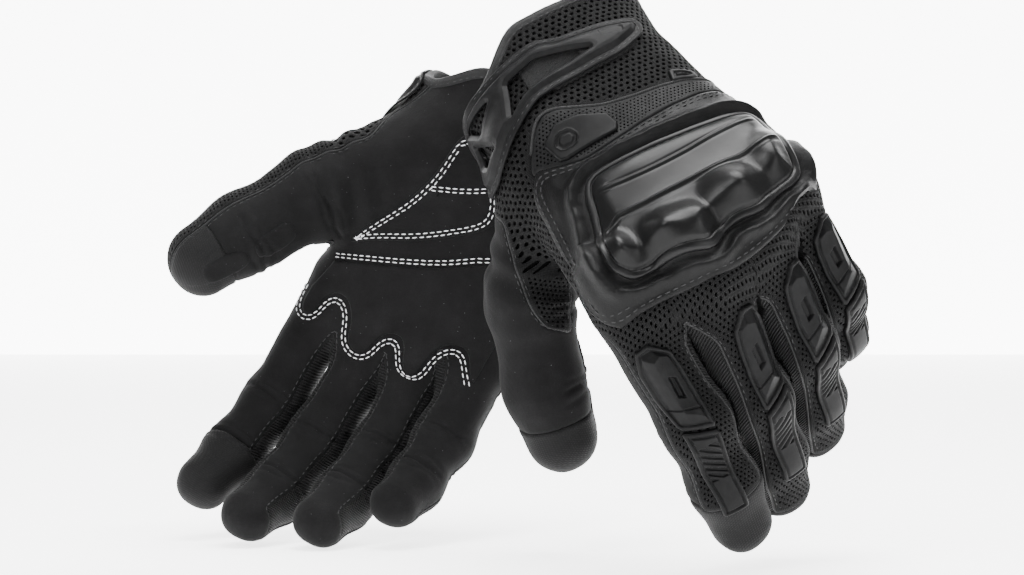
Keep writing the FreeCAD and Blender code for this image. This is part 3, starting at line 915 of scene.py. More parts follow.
class Shader:
    """A short way to write a material's nodes. Places are in millimetres."""

    def __init__(self, name):
        self.material = bpy.data.materials.new(name)
        self.material.use_nodes = True
        self.tree = self.material.node_tree
        self.tree.nodes.clear()
        self.out = self.tree.nodes.new("ShaderNodeOutputMaterial")
        self.bsdf = self.tree.nodes.new("ShaderNodeBsdfPrincipled")
        self.link(self.bsdf.outputs[0], self.out.inputs[0])
        coordinates = self.tree.nodes.new("ShaderNodeTexCoord")
        scale = self.tree.nodes.new("ShaderNodeVectorMath")
        scale.operation = "SCALE"
        scale.inputs["Scale"].default_value = 1000.0
        self.link(coordinates.outputs["Object"], scale.inputs[0])
        self.place = scale.outputs[0]
        cloth = self.tree.nodes.new("ShaderNodeAttribute")
        cloth.attribute_name = "cloth"
        self.cloth = cloth.outputs["Vector"]
        split = self.tree.nodes.new("ShaderNodeSeparateXYZ")
        self.link(self.cloth, split.inputs[0])
        self.x, self.y, self.z = split.outputs
        self.height = None

    def link(self, a, b):
        self.tree.links.new(a, b)

    def noise(self, size, detail=3.0, where=None, rough=0.55):
        n = self.tree.nodes.new("ShaderNodeTexNoise")
        n.inputs["Scale"].default_value = 1.0 / size
        n.inputs["Detail"].default_value = detail
        n.inputs["Roughness"].default_value = rough
        self.link(where or self.place, n.inputs["Vector"])
        return n.outputs["Fac"]

    def cells(self, size, kind="F1", output="Distance", where=None):
        n = self.tree.nodes.new("ShaderNodeTexVoronoi")
        n.feature = kind
        n.inputs["Scale"].default_value = 1.0 / size
        self.link(where or self.place, n.inputs["Vector"])
        return n.outputs[output]

    def sum(self, operation, a, b=0.5, c=None):
        n = self.tree.nodes.new("ShaderNodeMath")
        n.operation = operation
        for i, value in enumerate((a, b, c)):
            if value is None:
                continue
            if isinstance(value, (int, float)):
                n.inputs[i].default_value = value
            else:
                self.link(value, n.inputs[i])
        return n.outputs[0]

    def wave(self, value, pitch):
        """A smooth wave between 0 and 1."""
        turn = self.sum("MULTIPLY", value, 2 * math.pi / pitch)
        return self.sum("MULTIPLY_ADD", self.sum("SINE", turn), 0.5, 0.5)

    def ramp(self, value, *stops):
        n = self.tree.nodes.new("ShaderNodeValToRGB")
        while len(n.color_ramp.elements) < len(stops):
            n.color_ramp.elements.new(0.5)
        for element, (place, tone) in zip(n.color_ramp.elements, stops):
            element.position = place
            r, g, b = tone if isinstance(tone, tuple) else (tone, tone, tone * 1.03)
            element.color = (r, g, b, 1)
        self.link(value, n.inputs[0])
        return n.outputs[0]

    def bump(self, value, strength, distance):
        n = self.tree.nodes.new("ShaderNodeBump")
        n.inputs["Strength"].default_value = strength
        n.inputs["Distance"].default_value = distance * 0.001
        self.link(value, n.inputs["Height"])
        if self.height is not None:
            self.link(self.height, n.inputs["Normal"])
        self.height = n.outputs[0]
        self.link(self.height, self.bsdf.inputs["Normal"])

    def set(self, color=None, rough=None, **numbers):
        if color is not None:
            self.link(color, self.bsdf.inputs["Base Color"])
        if rough is not None:
            if isinstance(rough, (int, float)):
                self.bsdf.inputs["Roughness"].default_value = rough
            else:
                self.link(rough, self.bsdf.inputs["Roughness"])
        for name, value in numbers.items():
            self.bsdf.inputs[name.replace("_", " ")].default_value = value
        return self.material


def between(s, value, low, high):
    """value from 0..1 moved to low..high, clipped."""
    n = s.tree.nodes.new("ShaderNodeMapRange")
    n.inputs["To Min"].default_value = low
    n.inputs["To Max"].default_value = high
    s.link(value, n.inputs["Value"])
    return n.outputs[0]


def air_mesh_material():
    s = Shader("air_mesh")
    knit = s.sum("MULTIPLY", s.wave(s.x, 0.62), s.wave(s.y, 0.62))
    # Half of the colour follows the knit's bump and is darker in its grooves: painted shade. The other half is a
    # random tone.
    tone = s.sum("ADD", s.sum("MULTIPLY", knit, 0.5), s.sum("MULTIPLY", s.noise(6.0), 0.5))
    s.bump(knit, 0.55, 0.22)
    s.bump(s.noise(0.35, 2), 0.3, 0.12)
    return s.set(s.ramp(tone, (0.15, 0.0015), (0.55, 0.0045), (0.9, 0.011)), 0.72, Specular_IOR_Level=0.07,
                 Sheen_Weight=0.02, Sheen_Roughness=0.45)


def trim_material():
    s = Shader("perforated_trim")
    s.bump(s.noise(0.4, 3), 0.35, 0.1)
    return s.set(s.ramp(s.noise(5.0), (0.3, 0.003), (0.7, 0.007)), between(s, s.noise(2.0), 0.45, 0.62),
                 Specular_IOR_Level=0.08)


def suede_material():
    s = Shader("suede")
    nap = s.noise(0.5, 5, rough=0.7)
    patches = s.noise(11.0, 4)
    flecks = s.sum("GREATER_THAN", s.cells(0.55, output="Color"), 0.93)
    near = s.sum("LESS_THAN", s.cells(0.55), 0.3)
    flecks = s.sum("MULTIPLY", flecks, near)
    tone = s.sum("ADD", s.sum("MULTIPLY", nap, 0.55), s.sum("MULTIPLY", patches, 0.45))
    tone = s.sum("MULTIPLY_ADD", flecks, 0.35, tone)
    s.bump(nap, 0.5, 0.16)
    s.bump(s.noise(2.6, 3), 0.35, 0.35)
    return s.set(s.ramp(tone, (0.3, 0.0022), (0.55, 0.0048), (0.72, 0.0085), (0.95, 0.07)), 0.86,
                 Specular_IOR_Level=0.08, Sheen_Weight=0.03, Sheen_Roughness=0.5)


def touch_material():
    s = Shader("touch_suede")
    weave = s.sum("MULTIPLY", s.wave(s.x, 0.9), s.wave(s.y, 0.9))
    nap = s.noise(0.45, 4, rough=0.7)
    s.bump(weave, 0.5, 0.2)
    s.bump(nap, 0.4, 0.12)
    # Part of the colour follows the weave's bump and is darker in its grooves: painted shade. The rest follows the
    # random nap.
    tone = s.sum("ADD", s.sum("MULTIPLY", nap, 0.6), s.sum("MULTIPLY", weave, 0.3))
    return s.set(s.ramp(tone, (0.2, 0.0025), (0.5, 0.0055), (0.85, 0.012)), 0.8, Specular_IOR_Level=0.12,
                 Sheen_Weight=0.03, Sheen_Roughness=0.5)


def leather_material():
    s = Shader("leather")
    grain = s.cells(0.9, "DISTANCE_TO_EDGE")
    fine = s.noise(0.5, 4)
    s.bump(s.ramp(grain, (0.0, 0.0), (0.18, 1.0)), 0.35, 0.09)
    s.bump(fine, 0.25, 0.08)
    s.bump(s.noise(7.0, 3), 0.4, 0.6)
    return s.set(s.ramp(s.noise(4.0, 5), (0.3, 0.0018), (0.7, 0.0042)), between(s, s.noise(2.2, 4), 0.36, 0.56),
                 Specular_IOR_Level=0.09)


def guard_material():
    s = Shader("hard_guard")
    s.bump(s.noise(0.28, 3), 0.16, 0.05)
    s.bump(s.noise(3.5, 2), 0.12, 0.15)
    # The colour is lighter in a thin band along the guard's rim, where it reads the distance from the edge: a painted
    # highlight along the edge.
    tone_with_painted_rim_highlight = s.ramp(s.z, (0.0, 0.006), (0.35, 0.0028), (1.0, 0.0028))
    marks = s.sum("MULTIPLY", s.noise(1.4, 6, rough=0.75), 0.3)
    return s.set(tone_with_painted_rim_highlight, s.sum("ADD", marks, 0.2), Specular_IOR_Level=0.14)


def rubber_material(name, low, high, rough):
    s = Shader(name)
    s.bump(s.noise(0.3, 3), 0.2, 0.05)
    s.bump(s.noise(2.4, 3), 0.15, 0.12)
    polish = between(s, s.noise(1.2, 5), rough - 0.1, rough + 0.1)
    return s.set(s.ramp(s.noise(3.0, 5), (0.3, low), (0.72, high)), polish, Specular_IOR_Level=0.07)


def rib_material():
    s = Shader("rib_knit")
    rib = s.wave(s.y, 1.25)
    stitch = s.wave(s.x, 0.55)
    s.bump(rib, 0.9, 0.42)
    s.bump(s.sum("MULTIPLY", stitch, rib), 0.4, 0.12)
    # Most of the colour follows the ribs' bump and is darker between the ribs: painted shade. The rest is a random
    # tone.
    tone = s.sum("MULTIPLY_ADD", s.noise(3.0), 0.3, s.sum("MULTIPLY", rib, 0.7))
    return s.set(s.ramp(tone, (0.1, 0.0015), (0.6, 0.005), (0.95, 0.011)), 0.78, Specular_IOR_Level=0.12,
                 Sheen_Weight=0.03, Sheen_Roughness=0.4)


def tape_material():
    s = Shader("binding_tape")
    twill = s.wave(s.sum("ADD", s.x, s.y), 0.7)
    s.bump(twill, 0.5, 0.14)
    s.bump(s.noise(0.5, 3), 0.3, 0.1)
    # Part of the colour follows the twill's bump and is darker in its grooves: painted shade. The rest is a random
    # tone.
    tone = s.sum("MULTIPLY_ADD", s.noise(6.0, 4), 0.6, s.sum("MULTIPLY", twill, 0.3))
    return s.set(s.ramp(tone, (0.25, 0.004), (0.75, 0.012)), 0.66, Specular_IOR_Level=0.2,
                 Sheen_Weight=0.03, Sheen_Roughness=0.4)


def lining_material():
    s = Shader("lining")
    knit = s.sum("MULTIPLY", s.wave(s.x, 0.7), s.wave(s.y, 0.5))
    flecks = s.sum("GREATER_THAN", s.cells(0.5, output="Color"), 0.9)
    s.bump(knit, 0.6, 0.2)
    s.bump(s.noise(0.6, 4), 0.5, 0.2)
    tone = s.sum("MULTIPLY_ADD", flecks, 0.25, s.sum("MULTIPLY", s.noise(0.6, 4), 0.7))
    return s.set(s.ramp(tone, (0.25, 0.001), (0.6, 0.003), (0.9, 0.03)), 0.9, Specular_IOR_Level=0.08,
                 Sheen_Weight=0.02, Sheen_Roughness=0.5)


def thread_material(name, low, high):
    s = Shader(name)
    ply = s.wave(s.sum("ADD", s.noise(0.8, 2), s.sum("MULTIPLY", s.y, 1.4)), 0.5)
    s.bump(ply, 0.5, 0.08)
    s.bump(s.noise(0.2, 2), 0.4, 0.05)
    return s.set(s.ramp(s.noise(0.7, 4), (0.3, low), (0.7, high)), 0.6, Specular_IOR_Level=0.2,
                 Sheen_Weight=0.03, Sheen_Roughness=0.4)


def hook_material(name, size, low, high):
    s = Shader(name)
    fuzz = s.cells(size)
    s.bump(fuzz, 0.9, 0.4)
    s.bump(s.noise(size * 0.7, 4), 0.6, 0.2)
    return s.set(s.ramp(fuzz, (0.0, high), (0.7, low)), 0.85, Specular_IOR_Level=0.2, Sheen_Weight=0.03,
                 Sheen_Roughness=0.5)


MATERIALS = {
    "air_mesh": air_mesh_material(), "trim": trim_material(), "suede": suede_material(), "touch": touch_material(),
    "leather": leather_material(), "guard": guard_material(), "rib": rib_material(), "tape": tape_material(),
    "finger_guard": rubber_material("moulded_rubber", 0.0025, 0.0055, 0.42),
    "strap": rubber_material("strap_rubber", 0.004, 0.008, 0.5), "lining": lining_material(),
    "white_thread": thread_material("white_thread", 0.5, 0.8),
    "black_thread": thread_material("black_thread", 0.008, 0.022),
    "hook": hook_material("hook_tape", 0.5, 0.002, 0.01), "loop": hook_material("loop_tape", 0.4, 0.003, 0.012),
}

# ---------------------------------------------------------------- pieces


def piece(name, glove, m, material, edge=None):
    """A mesh object in the row frame, with its own smooth normals and its cloth coordinates."""
    data = bpy.data.meshes.new(name)
    points, normals = to_row(glove, m.p), m.n @ hand_axes(glove)
    faces = m.f[:, ::-1] if GLOVES[glove]["mirror"] else m.f
    data.vertices.add(len(points))
    data.vertices.foreach_set("co", points.astype(np.float32).ravel())
    data.loops.add(faces.size)
    data.loops.foreach_set("vertex_index", faces.astype(np.int32).ravel())
    data.polygons.add(len(faces))
    data.polygons.foreach_set("loop_start", np.arange(0, faces.size, 3, dtype=np.int32))
    data.update(calc_edges=True)
    data.polygons.foreach_set("use_smooth", np.ones(len(faces), bool))
    cloth = data.attributes.new("cloth", "FLOAT_VECTOR", "POINT")
    # The third cloth coordinate is the distance from the piece's edge, up to 9 mm; the hard guard's colour reads it
    # to paint a highlight along its rim.
    z = np.clip(np.zeros(len(m.p)) + 9 if edge is None else edge, 0, 9) / 9
    cloth.data.foreach_set("vector", np.stack([m["arc"], m["t"], z], 1).astype(np.float32).ravel())
    normals = normals / lengths(normals)
    data.normals_split_custom_set_from_vertices(normals.astype(np.float32).tolist())
    data.materials.append(MATERIALS[material])
    obj = bpy.data.objects.new(name, data)
    bpy.context.scene.collection.objects.link(obj)
    return obj


def segments(m):
    """A mesh cut at the places where one body hands over to the next."""
    out = {}
    thumb, rest, hand = cut(m, m["thumb"]), cut(m, -m["thumb"]), []
    for name in FINGERS:
        lane = cut(rest, rest["lane_" + name]) if len(rest.f) else rest
        if len(lane.f) == 0:
            continue
        hand.append(cut(lane, lane["root_" + name]))
        lane = cut(lane, -lane["root_" + name])
        if len(lane.f):
            out[name + "_root"] = cut(lane, lane["t_" + name] - MID_CUT[name])
            out[name + "_tip"] = cut(lane, MID_CUT[name] - lane["t_" + name])
    out["hand"] = joined(hand)
    if len(thumb.f):
        out["thumb_root"] = cut(thumb, thumb["tt"] - THUMB_CUT)
        out["thumb_tip"] = cut(thumb, THUMB_CUT - thumb["tt"])
    return {name: part for name, part in out.items() if len(part.f) > 2}


def settle(obj, glove, part):
    """Makes a hand or strap piece follow its body; any other piece only has its place baked into its mesh."""
    if part in ("hand", "strap"):
        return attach(obj, f"{glove}_{part}")
    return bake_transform(obj)


def long_lines(m, field, least):
    """The lines on a mesh where field is zero, without the very short ones."""
    return [line for line in contours(m, field) if len(line) > least]


def dress(glove):
    """Makes all the pieces of one glove."""
    base, chains = form(glove)

    def nodes_of(part, own):
        if part in ("hand", "strap"):
            return own
        name, place = part.split("_")
        return (f"{name}_base_stall",) if place == "root" else (f"{name}_tip_stall",)

    def add(name, m, material, own, everywhere=None, edge=None, only=None):
        """Adds a piece, cut at the joints. own are the CAD nodes that it stands for on the hand."""
        parts = segments(m) if only is None else {only: m}
        for part, one in parts.items():
            obj = piece(f"{glove}_{part}_{name}", glove, one, material, None if edge is None else edge(one))
            settle(obj, glove, part)
            nodes = everywhere if everywhere is not None else nodes_of(part, own)
            if nodes:
                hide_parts(*(f"{glove}_{n}" for n in nodes))

    def back_only(m, outline):
        """Distance to an outline on the back of the hand."""
        return np.maximum(inside_of(m.p[:, 0], m.p[:, 1], outline), np.maximum(5 - m.p[:, 2], m["reach"] - 24))

    leather, trim, guard = rounded(LEATHER, 2), rounded(TRIM, 1), rounded(GUARD, 2)
    strap = rounded(STRAP, 2, 0.14)

    # The air mesh of the back, the fingers' backs and the thumb's side.
    back = cut(base, base["gd"])
    back = cut(back, np.minimum(-back_only(back, leather) - 9, 9.0))
    back = cut(back, -back_only(back, trim) - 0.6)
    back = refine(back, 1)

    def mesh_holes(m):
        on_hand = (m["reach"] < -9) & (m["thumb"] > 0)
        wide = hole_distance(m["q"], m.p[:, 1], HAND_HOLES[0], 0.16) - HAND_HOLES[1]
        fine = hole_distance(m["arc"], m["t"], FINGER_HOLES[0], 0.08) - FINGER_HOLES[1]
        distance = np.where(on_hand, wide, fine)
        edge = np.minimum(np.minimum(-m["gd"], -m["cuff"]), back_only(m, trim))
        return np.maximum(distance, 1.9 - edge), edge

    net = cut(back, -mesh_holes(back)[0])
    distance, edge = mesh_holes(net)
    height = dome(edge, 1.6, 0.75) + 0.30 * np.clip(distance, 0, 0.6)
    add("air_mesh", raised(net, height, skirt=0.85), "air_mesh", ("hand_shell",))

    # The lining, which also closes every stall from inside.
    lining = Mesh(base.p - base.n * 1.5, base.d, base.f)
    add("lining_outside", raised(lining, 0.0, skirt=0.4), "lining", ("hand_shell",))
    inner = Mesh(base.p - base.n * 2.1, base.d.copy(), base.f[:, ::-1])
    inner.d[:, :3] = -base.n
    inner = cut(inner, inner["reach"] - 20)
    inner = cut(inner, -inner["thumb"])
    add("lining_inside", inner, "lining", ("hand_shell",))

    # Rib-knit sides of the fingers.
    sides = cut(base, -base["gd"])
    sides = cut(sides, sides["gf"])
    edge = np.minimum(sides["gd"], -sides["gf"])
    add("rib_side", raised(sides, dome(edge, 1.4, 0.3), skirt=1.2), "rib", ("hand_shell",))

    # Suede of the palm, the finger fronts and the thumb; the touch caps of the thumb and the index finger.
    front = cut(base, -base["gf"])

    def touch(m):
        tip = np.where(m["thumb"] < 0, TOUCH_THUMB - m["tt"], 99.0)
        index = np.where((m["lane_index"] < 0) & (m["thumb"] > 0), TOUCH_INDEX - m["t_index"], 99.0)
        return np.minimum(tip, index)

    caps = cut(front, touch(front))
    front = cut(front, -touch(front))
    edge = np.minimum(np.minimum(front["gf"], -front["cuff"]), touch(front))
    add("suede", raised(front, dome(edge, 1.8, 0.62), skirt=1.5), "suede", ("hand_shell",))
    caps = refine(caps, 1)
    edge = np.minimum(caps["gf"], -touch(caps))
    for part, one in segments(raised(caps, dome(edge, 1.5, 0.95), skirt=1.6)).items():
        finger = part.split("_")[0]
        add("touch_cap", one, "touch", (), everywhere=(f"{finger}_touch_pad", f"{finger}_tip_stall"),
            only=part)

    # Patches on the palm, with their white double rows. On the left glove, which is bent more, the wavy row keeps
    # clear of the crease below the fingers.
    wave = [(u, v - (4.0 if glove == "left" and v > 84 else 0.0)) for u, v in PALM_WAVE]
    palm_outline = np.vstack([softened(PALM_TOP, 2)[::-1], softened(wave, 3)])

    def palm_only(m, outline):
        return np.maximum(inside_of(m.p[:, 0], m.p[:, 1], outline), np.maximum(m.p[:, 2] + 4, m["reach"] - 13))

    for label, outline in (("palm_patch", palm_outline), ("heel_patch", rounded(HEEL, 2))):
        patch = cut(base, np.maximum(palm_only(base, outline), 0.5 - base["thumb"]))
        patch = refine(patch, 1)
        edge = -palm_only(patch, outline)
        add(label, raised(patch, 0.62 + dome(edge, 1.2, 0.85), skirt=1.2), "suede", ("palm_patches",),
            everywhere=("palm_patches",))

    def oval(m, t, ang, long, wide):
        away = np.mod(angle_of(m["ts"], m["tb"]) - ang + 180, 360) - 180
        x = np.hypot(m["ts"], m["tb"]) * np.radians(away) / wide
        y = (m["tt"] - t) / long
        return ((np.abs(x) ** 3 + np.abs(y) ** 3) ** (1 / 3) - 1) * wide

    near = cut(base, base["thumb"])
    for oval_size in THUMB_PATCHES:
        patch = refine(cut(near, oval(near, *oval_size)), 1)
        add(f"thumb_patch_{oval_size[0]}", raised(patch, 0.6 + dome(-oval(patch, *oval_size), 1.2, 0.8), skirt=1.2),
            "suede", ())

    white = []
    for path in (PALM_TOP, wave):
        smooth = softened(path, 3)
        for offset in (1.3, 2.8):
            side = beside(smooth, -offset if path is wave else offset)
            white.append(on_form(base, side, True))
    heel = rounded(HEEL, 2)
    heel = np.vstack([heel, heel[:1]])
    for offset in (1.2, 2.7):
        white.append(on_form(base, beside(heel, offset), True))
        white.append(on_form(base, beside(softened(HEEL_LINE, 2), offset), True))
    add("white_stitches", stitches(white, 1.58, 2.0, 0.95, 0.24), "white_thread", (), everywhere=())

    # The perforated trim band, the leather round the guard, and the pads below.
    band = cut(base, back_only(base, trim))
    band = cut(band, -back_only(band, leather) - 0.8)
    band = refine(band, 2)

    def pores(m):
        edge = np.minimum(-back_only(m, trim), back_only(m, leather))
        return np.maximum(hole_distance(m.p[:, 0], m.p[:, 1], TRIM_HOLES[0]) - TRIM_HOLES[1], 1.5 - edge), edge

    band = cut(band, -pores(band)[0])
    distance, edge = pores(band)
    add("trim_band", raised(band, 0.35 + dome(edge, 1.2, 0.75) + 0.08 * np.clip(distance, 0, 0.5), skirt=0.6), "trim",
        (), everywhere=("hand_shell",), only="hand")

    hide = smooth_back(refine(cut(base, back_only(base, leather)), 1))
    gap = inside_of(hide.p[:, 0], hide.p[:, 1], guard)
    edge = -back_only(hide, leather)
    roll = ridge(gap - 4.4, 2.0, 2.9) * (1 + 0.10 * wobble(hide.p, 7, 11)) * smooth_step(edge, 0.5, 5)
    height = dome(edge, 1.5, 1.2) + roll + 0.18 * wobble(hide.p, 9, 12) * smooth_step(edge, 1, 5)
    height += 1.0 * smooth_step(-gap, -1, 2) + 1.2 * smooth_step(edge, 2, 14) * smooth_step(gap, 0, 9)
    cover = raised(hide, height, skirt=2.2)
    add("leather", cover, "leather", (), everywhere=("knuckle_leather", "knuckle_pad"), only="hand")
    rows = [line for offset in (1.5, 3.1) for line in contours(hide, back_only(hide, leather) + offset)]
    add("leather_stitches", stitches(rows, 1.35, 2.1, 0.9, 0.27), "black_thread", (),
        everywhere=(), only="hand")

    # The hard knuckle guard.
    hard = refine(cut(base, np.maximum(inside_of(base.p[:, 0], base.p[:, 1], guard), 2 - base.p[:, 2])), 1)
    hard = refine(hard, 1)
    hard = smooth_back(hard)

    def guard_height(m):
        u, v = m.p[:, 0], m.p[:, 1]
        inside = -np.maximum(inside_of(u, v, guard), 2 - m.p[:, 2])
        h = 2.5 + dome(inside, 1.1, 0.9) - ridge(inside - 2.5, 0.45, 0.35)
        core = smooth_step(inside, 2.6, 9.0)
        h += dome(inside - 2.6, 5.5, 1.9)
        crest = np.interp(u, [x[0] for x in GUARD_CREST[::-1]], [x[1] for x in GUARD_CREST[::-1]])
        above = crest - v
        h += core * (1.5 * np.exp(-np.clip(above, 0, 99) / 12) * (above > 0) + 1.5 * (above <= 0))
        h -= core * 0.055 * np.clip(-above, 0, 30)
        h += smooth_step(inside, 2.6, 5) * (ridge(above - 0.5, 0.5, 0.42) - ridge(above + 1.2, 1.1, 0.35))
        for x, y, size in GUARD_BUMPS:
            away = ((u - x) / size) ** 2 + ((v - y) / (size * 1.25)) ** 2
            h += core * 2.1 * np.exp(-1.15 * away)
        line = line_distance(u, v, softened(GUARD_LINE, 2))
        h += core * (ridge(line, 0.45, 0.3) - ridge(line - 1.1, 0.5, 0.2))
        return h, inside

    h, inside = guard_height(hard)
    # The edge it passes is the distance in from the guard's outline, which makes the guard's colour lighter at the
    # rim: a painted highlight.
    add("knuckle_guard", raised(hard, h, skirt=2.0, under=1.3), "guard", (),
        everywhere=("knuckle_guard",), only="hand", edge=lambda m: -inside_of(m.p[:, 0], m.p[:, 1], guard) * 4)

    # The emblem plate and the small tab.
    for label, outline, low, node in (("emblem_plate", PLATE, 1.0, ("emblem_plate",)), ("tab", TAB, 0.6, ())):
        outline = rounded(outline, 1, 0.1)
        plate = refine(cut(base, back_only(base, outline)), 2)
        inside = -back_only(plate, outline)
        h = low + dome(inside, 0.9, 1.3)
        if label == "emblem_plate":
            badge = inside_of(plate.p[:, 0], plate.p[:, 1], rounded(PLATE_BADGE, 1))
            h += -0.45 * smooth_step(-badge, -0.3, 0.3) + ridge(badge, 0.35, 0.3)
            h += 0.4 * smooth_step(-badge, 1.1, 1.6)
        else:
            h -= 0.6 * smooth_step(np.abs(inside - 2.2), 0.6, 0.2) * (inside > 1)
        add(label, raised(plate, h, under=0.3), "finger_guard", (), everywhere=node, only="hand")

    # Finger guards: an upper part with facets and a slot, and a ribbed tongue below the split line.
    def local(m, name):
        """Places across and along a finger, in the measure of the guards' outlines."""
        top, bottom, size = FINGER_GUARDS[name]
        y = m["t_" + name] / size
        x = m["arc"] - top - (bottom - top) * smooth_step(y, 12, 60)
        return x * (-1 if name != "index" else 1), y

    upper_outline, lower_outline = rounded(UPPER_GUARD, 1, 0.1), rounded(LOWER_GUARD, 1, 0.05)
    for name in FINGERS:
        lane = cut(base, base["lane_" + name])
        lane = cut(lane, -lane["thumb"])
        lane = cut(lane, 4 - lane["t_" + name])
        lane = cut(lane, 2 - lane["b"])
        lane = refine(lane, 2)
        upper = cut(lane, inside_of(*local(lane, name), upper_outline))
        x, y = local(upper, name)
        inside = -inside_of(x, y, upper_outline)
        h = 1.1 + dome(inside, 0.45, 0.9) - 0.55 * smooth_step(inside, 1.25, 1.6)
        h += 0.2 * smooth_step(inside, 0.2, 0.8)
        facet = np.minimum(np.minimum(0.62 * (y - 11), 0.62 * (41 - y - 0.3 * x)),
                           np.minimum(1.5 + 0.34 * (x + 2.5), 2.5 - 0.62 * (x - 0.6)))
        h += np.clip(np.minimum(facet, (inside - 1.7) * 1.5), 0, 2.6) * smooth_step(inside, 1.5, 1.9)
        opening = np.maximum(np.abs(x + 1.7 - 0.06 * (y - 26)) - 0.95, np.abs(y - 27 + 0.9 * (x + 1.7)) - 4.2)
        h -= 1.5 * smooth_step(-opening, -0.25, 0.3)
        h -= 0.45 * smooth_step(np.abs(y - 35.5 + 0.45 * x), 0.5, 0.2) * (inside > 1.7)
        solid = raised(upper, h, under=0.3)
        parts = {name + "_root": cut(solid, solid["t_" + name] - MID_CUT[name]),
                 name + "_tip": cut(solid, MID_CUT[name] - solid["t_" + name])}
        for part, one in parts.items():
            add("guard_upper", one, "finger_guard", (), everywhere=(name + "_upper_guard",),
                only=part)
        lower = cut(lane, inside_of(*local(lane, name), lower_outline))
        x, y = local(lower, name)
        inside = -inside_of(x, y, lower_outline)
        h = 1.1 + dome(inside, 0.45, 0.9) + 0.2 * smooth_step(inside, 0.2, 0.8)
        h += 0.6 * smooth_step(inside, 1.7, 2.3) - 0.6 * smooth_step(inside, 1.2, 1.5)
        ribs = 0.5 + 0.5 * np.sin(2 * math.pi * (y + 0.8 * x) / 2.9)
        h -= 0.7 * smooth_step(ribs, 0.35, 0.75) * smooth_step(inside, 1.9, 2.3) * (y > 48) * (y < 63)
        add("guard_lower", raised(lower, h, under=0.3), "finger_guard", (),
            everywhere=(name + "_lower_guard",), only=name + "_tip")

    # Piping and stitches along the seams.
    seam = long_lines(base, base["gd"], 20)
    add("piping", tube(seam, 0.42, 0.5, gap=1.0, sides=7), "tape", ("hand_shell",))
    rows = long_lines(back, back["gd"] + 1.15, 20)
    add("back_stitches", stitches(rows, 0.78, 2.0, 1.0, 0.2), "black_thread", (), everywhere=())
    rows = long_lines(base, base["gf"] - 1.4, 20)
    add("front_stitches", stitches(rows, 0.62, 2.0, 1.0, 0.22), "black_thread", (), everywhere=())
    edge_line = on_form(base, softened(TRIM_EDGE, 3), False)
    add("trim_piping", tube([edge_line], 0.9, 0.62), "tape", (), everywhere=("hand_shell",),
        only="hand")

    # The cuff's folded binding.
    sides, gap = 20, 1.2
    turn = np.linspace(0, 2 * math.pi, sides, endpoint=False)
    c, s = (np.sign(x) * np.abs(x) ** 0.55 for x in (np.cos(turn), np.sin(turn)))
    rolls = []
    for line in long_lines(base, base["cuff"] + 1.6, 60):
        dots = resampled(line, gap)
        dots = np.vstack([dots, dots[:1]])
        _, out, across = frames_along(dots)
        pucker = 1 + 0.035 * np.sin(np.arange(len(dots)) * 1.9)[:, None, None]
        ring = out[:, None] * (1.9 * c)[None, :, None] * pucker + across[:, None] * (2.3 * s)[None, :, None]
        p = (dots[:, :3] - out * 0.75)[:, None] + ring
        n = out[:, None] * (c**3)[None, :, None] + across[:, None] * (s**3)[None, :, None]
        data = np.repeat(dots[:, 3:], sides, axis=0)
        data[:, :3] = n.reshape(-1, 3)
        data[:, COLUMNS.index("arc")] = np.repeat(np.arange(len(dots)) * gap, sides)
        data[:, COLUMNS.index("t")] = np.tile(turn * 2.2, len(dots))
        rolls.append(Mesh(p.reshape(-1, 3), data, tube_faces(len(dots), sides)))
    add("cuff_binding", joined(rolls), "tape", (), everywhere=("cuff_binding",), only="hand")
    rows = long_lines(base, base["cuff"] + 3.1, 60)
    add("cuff_stitches", stitches(rows, 1.12, 2.0, 1.0, 0.22), "black_thread", (), everywhere=(),
        only="hand")

    # The strap: a flange of cloth, raised bars with openings between them, hooks under its end, loops below.
    def wrist(m, outline):
        """Distance to an outline that is laid round the wrist."""
        return np.maximum(inside_of(m["q"], m.p[:, 1], outline), m["reach"] + 5)

    patch = refine(cut(base, np.maximum(wrist(base, rounded(LOOP, 1)), base["cuff"] + 2)), 1)
    add("loop_patch", raised(patch, 0.75 + dome(-wrist(patch, rounded(LOOP, 1)), 0.8, 0.45)), "loop", (),
        everywhere=("loop_patch",), only="hand")
    patch = refine(cut(base, wrist(base, rounded(HOOK, 1))), 1)
    add("hook_patch", raised(patch, 2.2, under=1.35), "hook", (), everywhere=("hook_patch",), only="strap")
    belt = refine(cut(base, wrist(base, strap)), 2)
    holes = [rounded(hole, 1, 0.08) for hole in STRAP_HOLES]

    def openings(m):
        return np.min([inside_of(m["q"], m.p[:, 1], hole) for hole in holes], axis=0)

    belt = cut(belt, -openings(belt))
    inside, away = -wrist(belt, strap), openings(belt)
    bar = np.minimum(inside - 2.9, away)
    h = 2.7 + dome(inside, 0.5, 0.35) - ridge(inside - 2.6, 0.3, 0.25)
    h = np.where(bar > 0, 3.0 + 1.2 * np.clip(bar / 1.3, 0, 1) + 0.25 * np.clip((bar - 1.3) / 1.6, 0, 1), h)
    slot = np.min([inside_of(belt["q"], belt.p[:, 1], rounded(x, 1)) for x in STRAP_SLOTS], axis=0)
    h -= 0.5 * smooth_step(-slot, -0.2, 0.4)
    moulding = piece(f"{glove}_wrist_strap_moulding", glove, raised(belt, h, under=2.25), "strap")
    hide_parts(f"{glove}_wrist_strap")
    rows = long_lines(belt, -wrist(belt, strap) - 1.3, 30)
    sewn = piece(f"{glove}_strap_stitches", glove, stitches(rows, 3.08, 2.0, 0.9, 0.24), "black_thread")
    for obj in (moulding, sewn):
        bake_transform(obj)


for glove in GLOVES:
    dress(glove)

# ---------------------------------------------------------------- camera, floor and lights

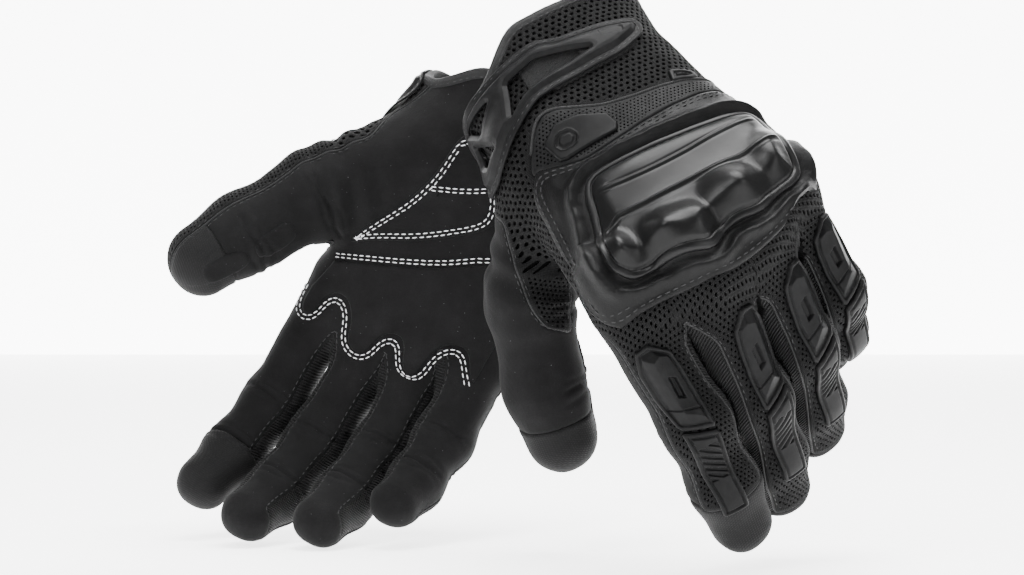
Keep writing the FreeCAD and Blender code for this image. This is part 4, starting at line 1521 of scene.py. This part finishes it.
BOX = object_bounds()
WHITE = (1, 1, 1, 1)
CAMERA_DISTANCE, CAMERA_LENS = 900.0, 77.55
FLOOR_SIZE, FLOOR_GLOW = 3.0, 2.6
BACKDROP_PLACE, BACKDROP_LOW, BACKDROP_HIGH, BACKDROP_GLOW = 2.4, -1.0, 2.6, 7.0


def in_scene(name, data, place=(0, 0, 0), turn=(0, 0, 0)):
    obj = bpy.data.objects.new(name, data)
    obj.location = place
    obj.rotation_euler = turn
    bpy.context.scene.collection.objects.link(obj)
    return obj


def stage_plane(name, corners, place, glow, settings):
    """A plain pale surface that isn't part of the object."""
    data = bpy.data.meshes.new(name)
    data.from_pydata(corners, [], [(0, 1, 2, 3)])
    material = bpy.data.materials.new(name)
    material.use_nodes = True
    inputs = material.node_tree.nodes["Principled BSDF"].inputs
    for key, value in {"Emission Color": WHITE, "Emission Strength": glow, **settings}.items():
        inputs[key].default_value = value
    data.materials.append(material)
    in_scene(name, data, place)


def area_light(name, place, target, size, power):
    data = bpy.data.lights.new(name, "AREA")
    data.shape = "DISK"
    data.size = size
    data.energy = power
    aim = unit(np.array(target) - np.array(place))
    in_scene(name, data, place, (math.acos(-aim[2]), 0, math.atan2(aim[0], -aim[1]) + math.pi))


camera_data = bpy.data.cameras.new("camera")
camera_data.sensor_width = 36.0
camera_data.lens = CAMERA_LENS
camera = in_scene("camera", camera_data, (np.array([0, -CAMERA_DISTANCE, 0]) - ROW_ORIGIN) * 0.001,
                  (math.radians(90), 0, 0))
bpy.context.scene.camera = camera

square = ((-1, -1), (1, -1), (1, 1), (-1, 1))
corners = [(x * FLOOR_SIZE, y * FLOOR_SIZE, 0) for x, y in square]
stage_plane("floor", corners, (0, 0, BOX[0][2] - 0.0004), FLOOR_GLOW,
            {"Base Color": (0.93, 0.93, 0.93, 1), "Roughness": 0.9})

CENTRE = [(a + b) / 2 for a, b in zip(*BOX)]
area_light("key", (-0.55, -0.85, 0.95), CENTRE, 0.5, 14)
area_light("top", (0.1, -0.1, 1.15), CENTRE, 1.0, 45)
area_light("fill", (0.9, -0.8, 0.3), CENTRE, 0.6, 5)

heights = {-1: BACKDROP_LOW, 1: BACKDROP_HIGH}
corners = [(x * FLOOR_SIZE, BACKDROP_PLACE, heights[z]) for x, z in square]
stage_plane("backdrop", corners, (0, 0, 0), BACKDROP_GLOW, {})

world = bpy.data.worlds.new("world")
world.use_nodes = True
world.node_tree.nodes["Background"].inputs[0].default_value = WHITE
world.node_tree.nodes["Background"].inputs[1].default_value = 0.5
bpy.context.scene.world = world
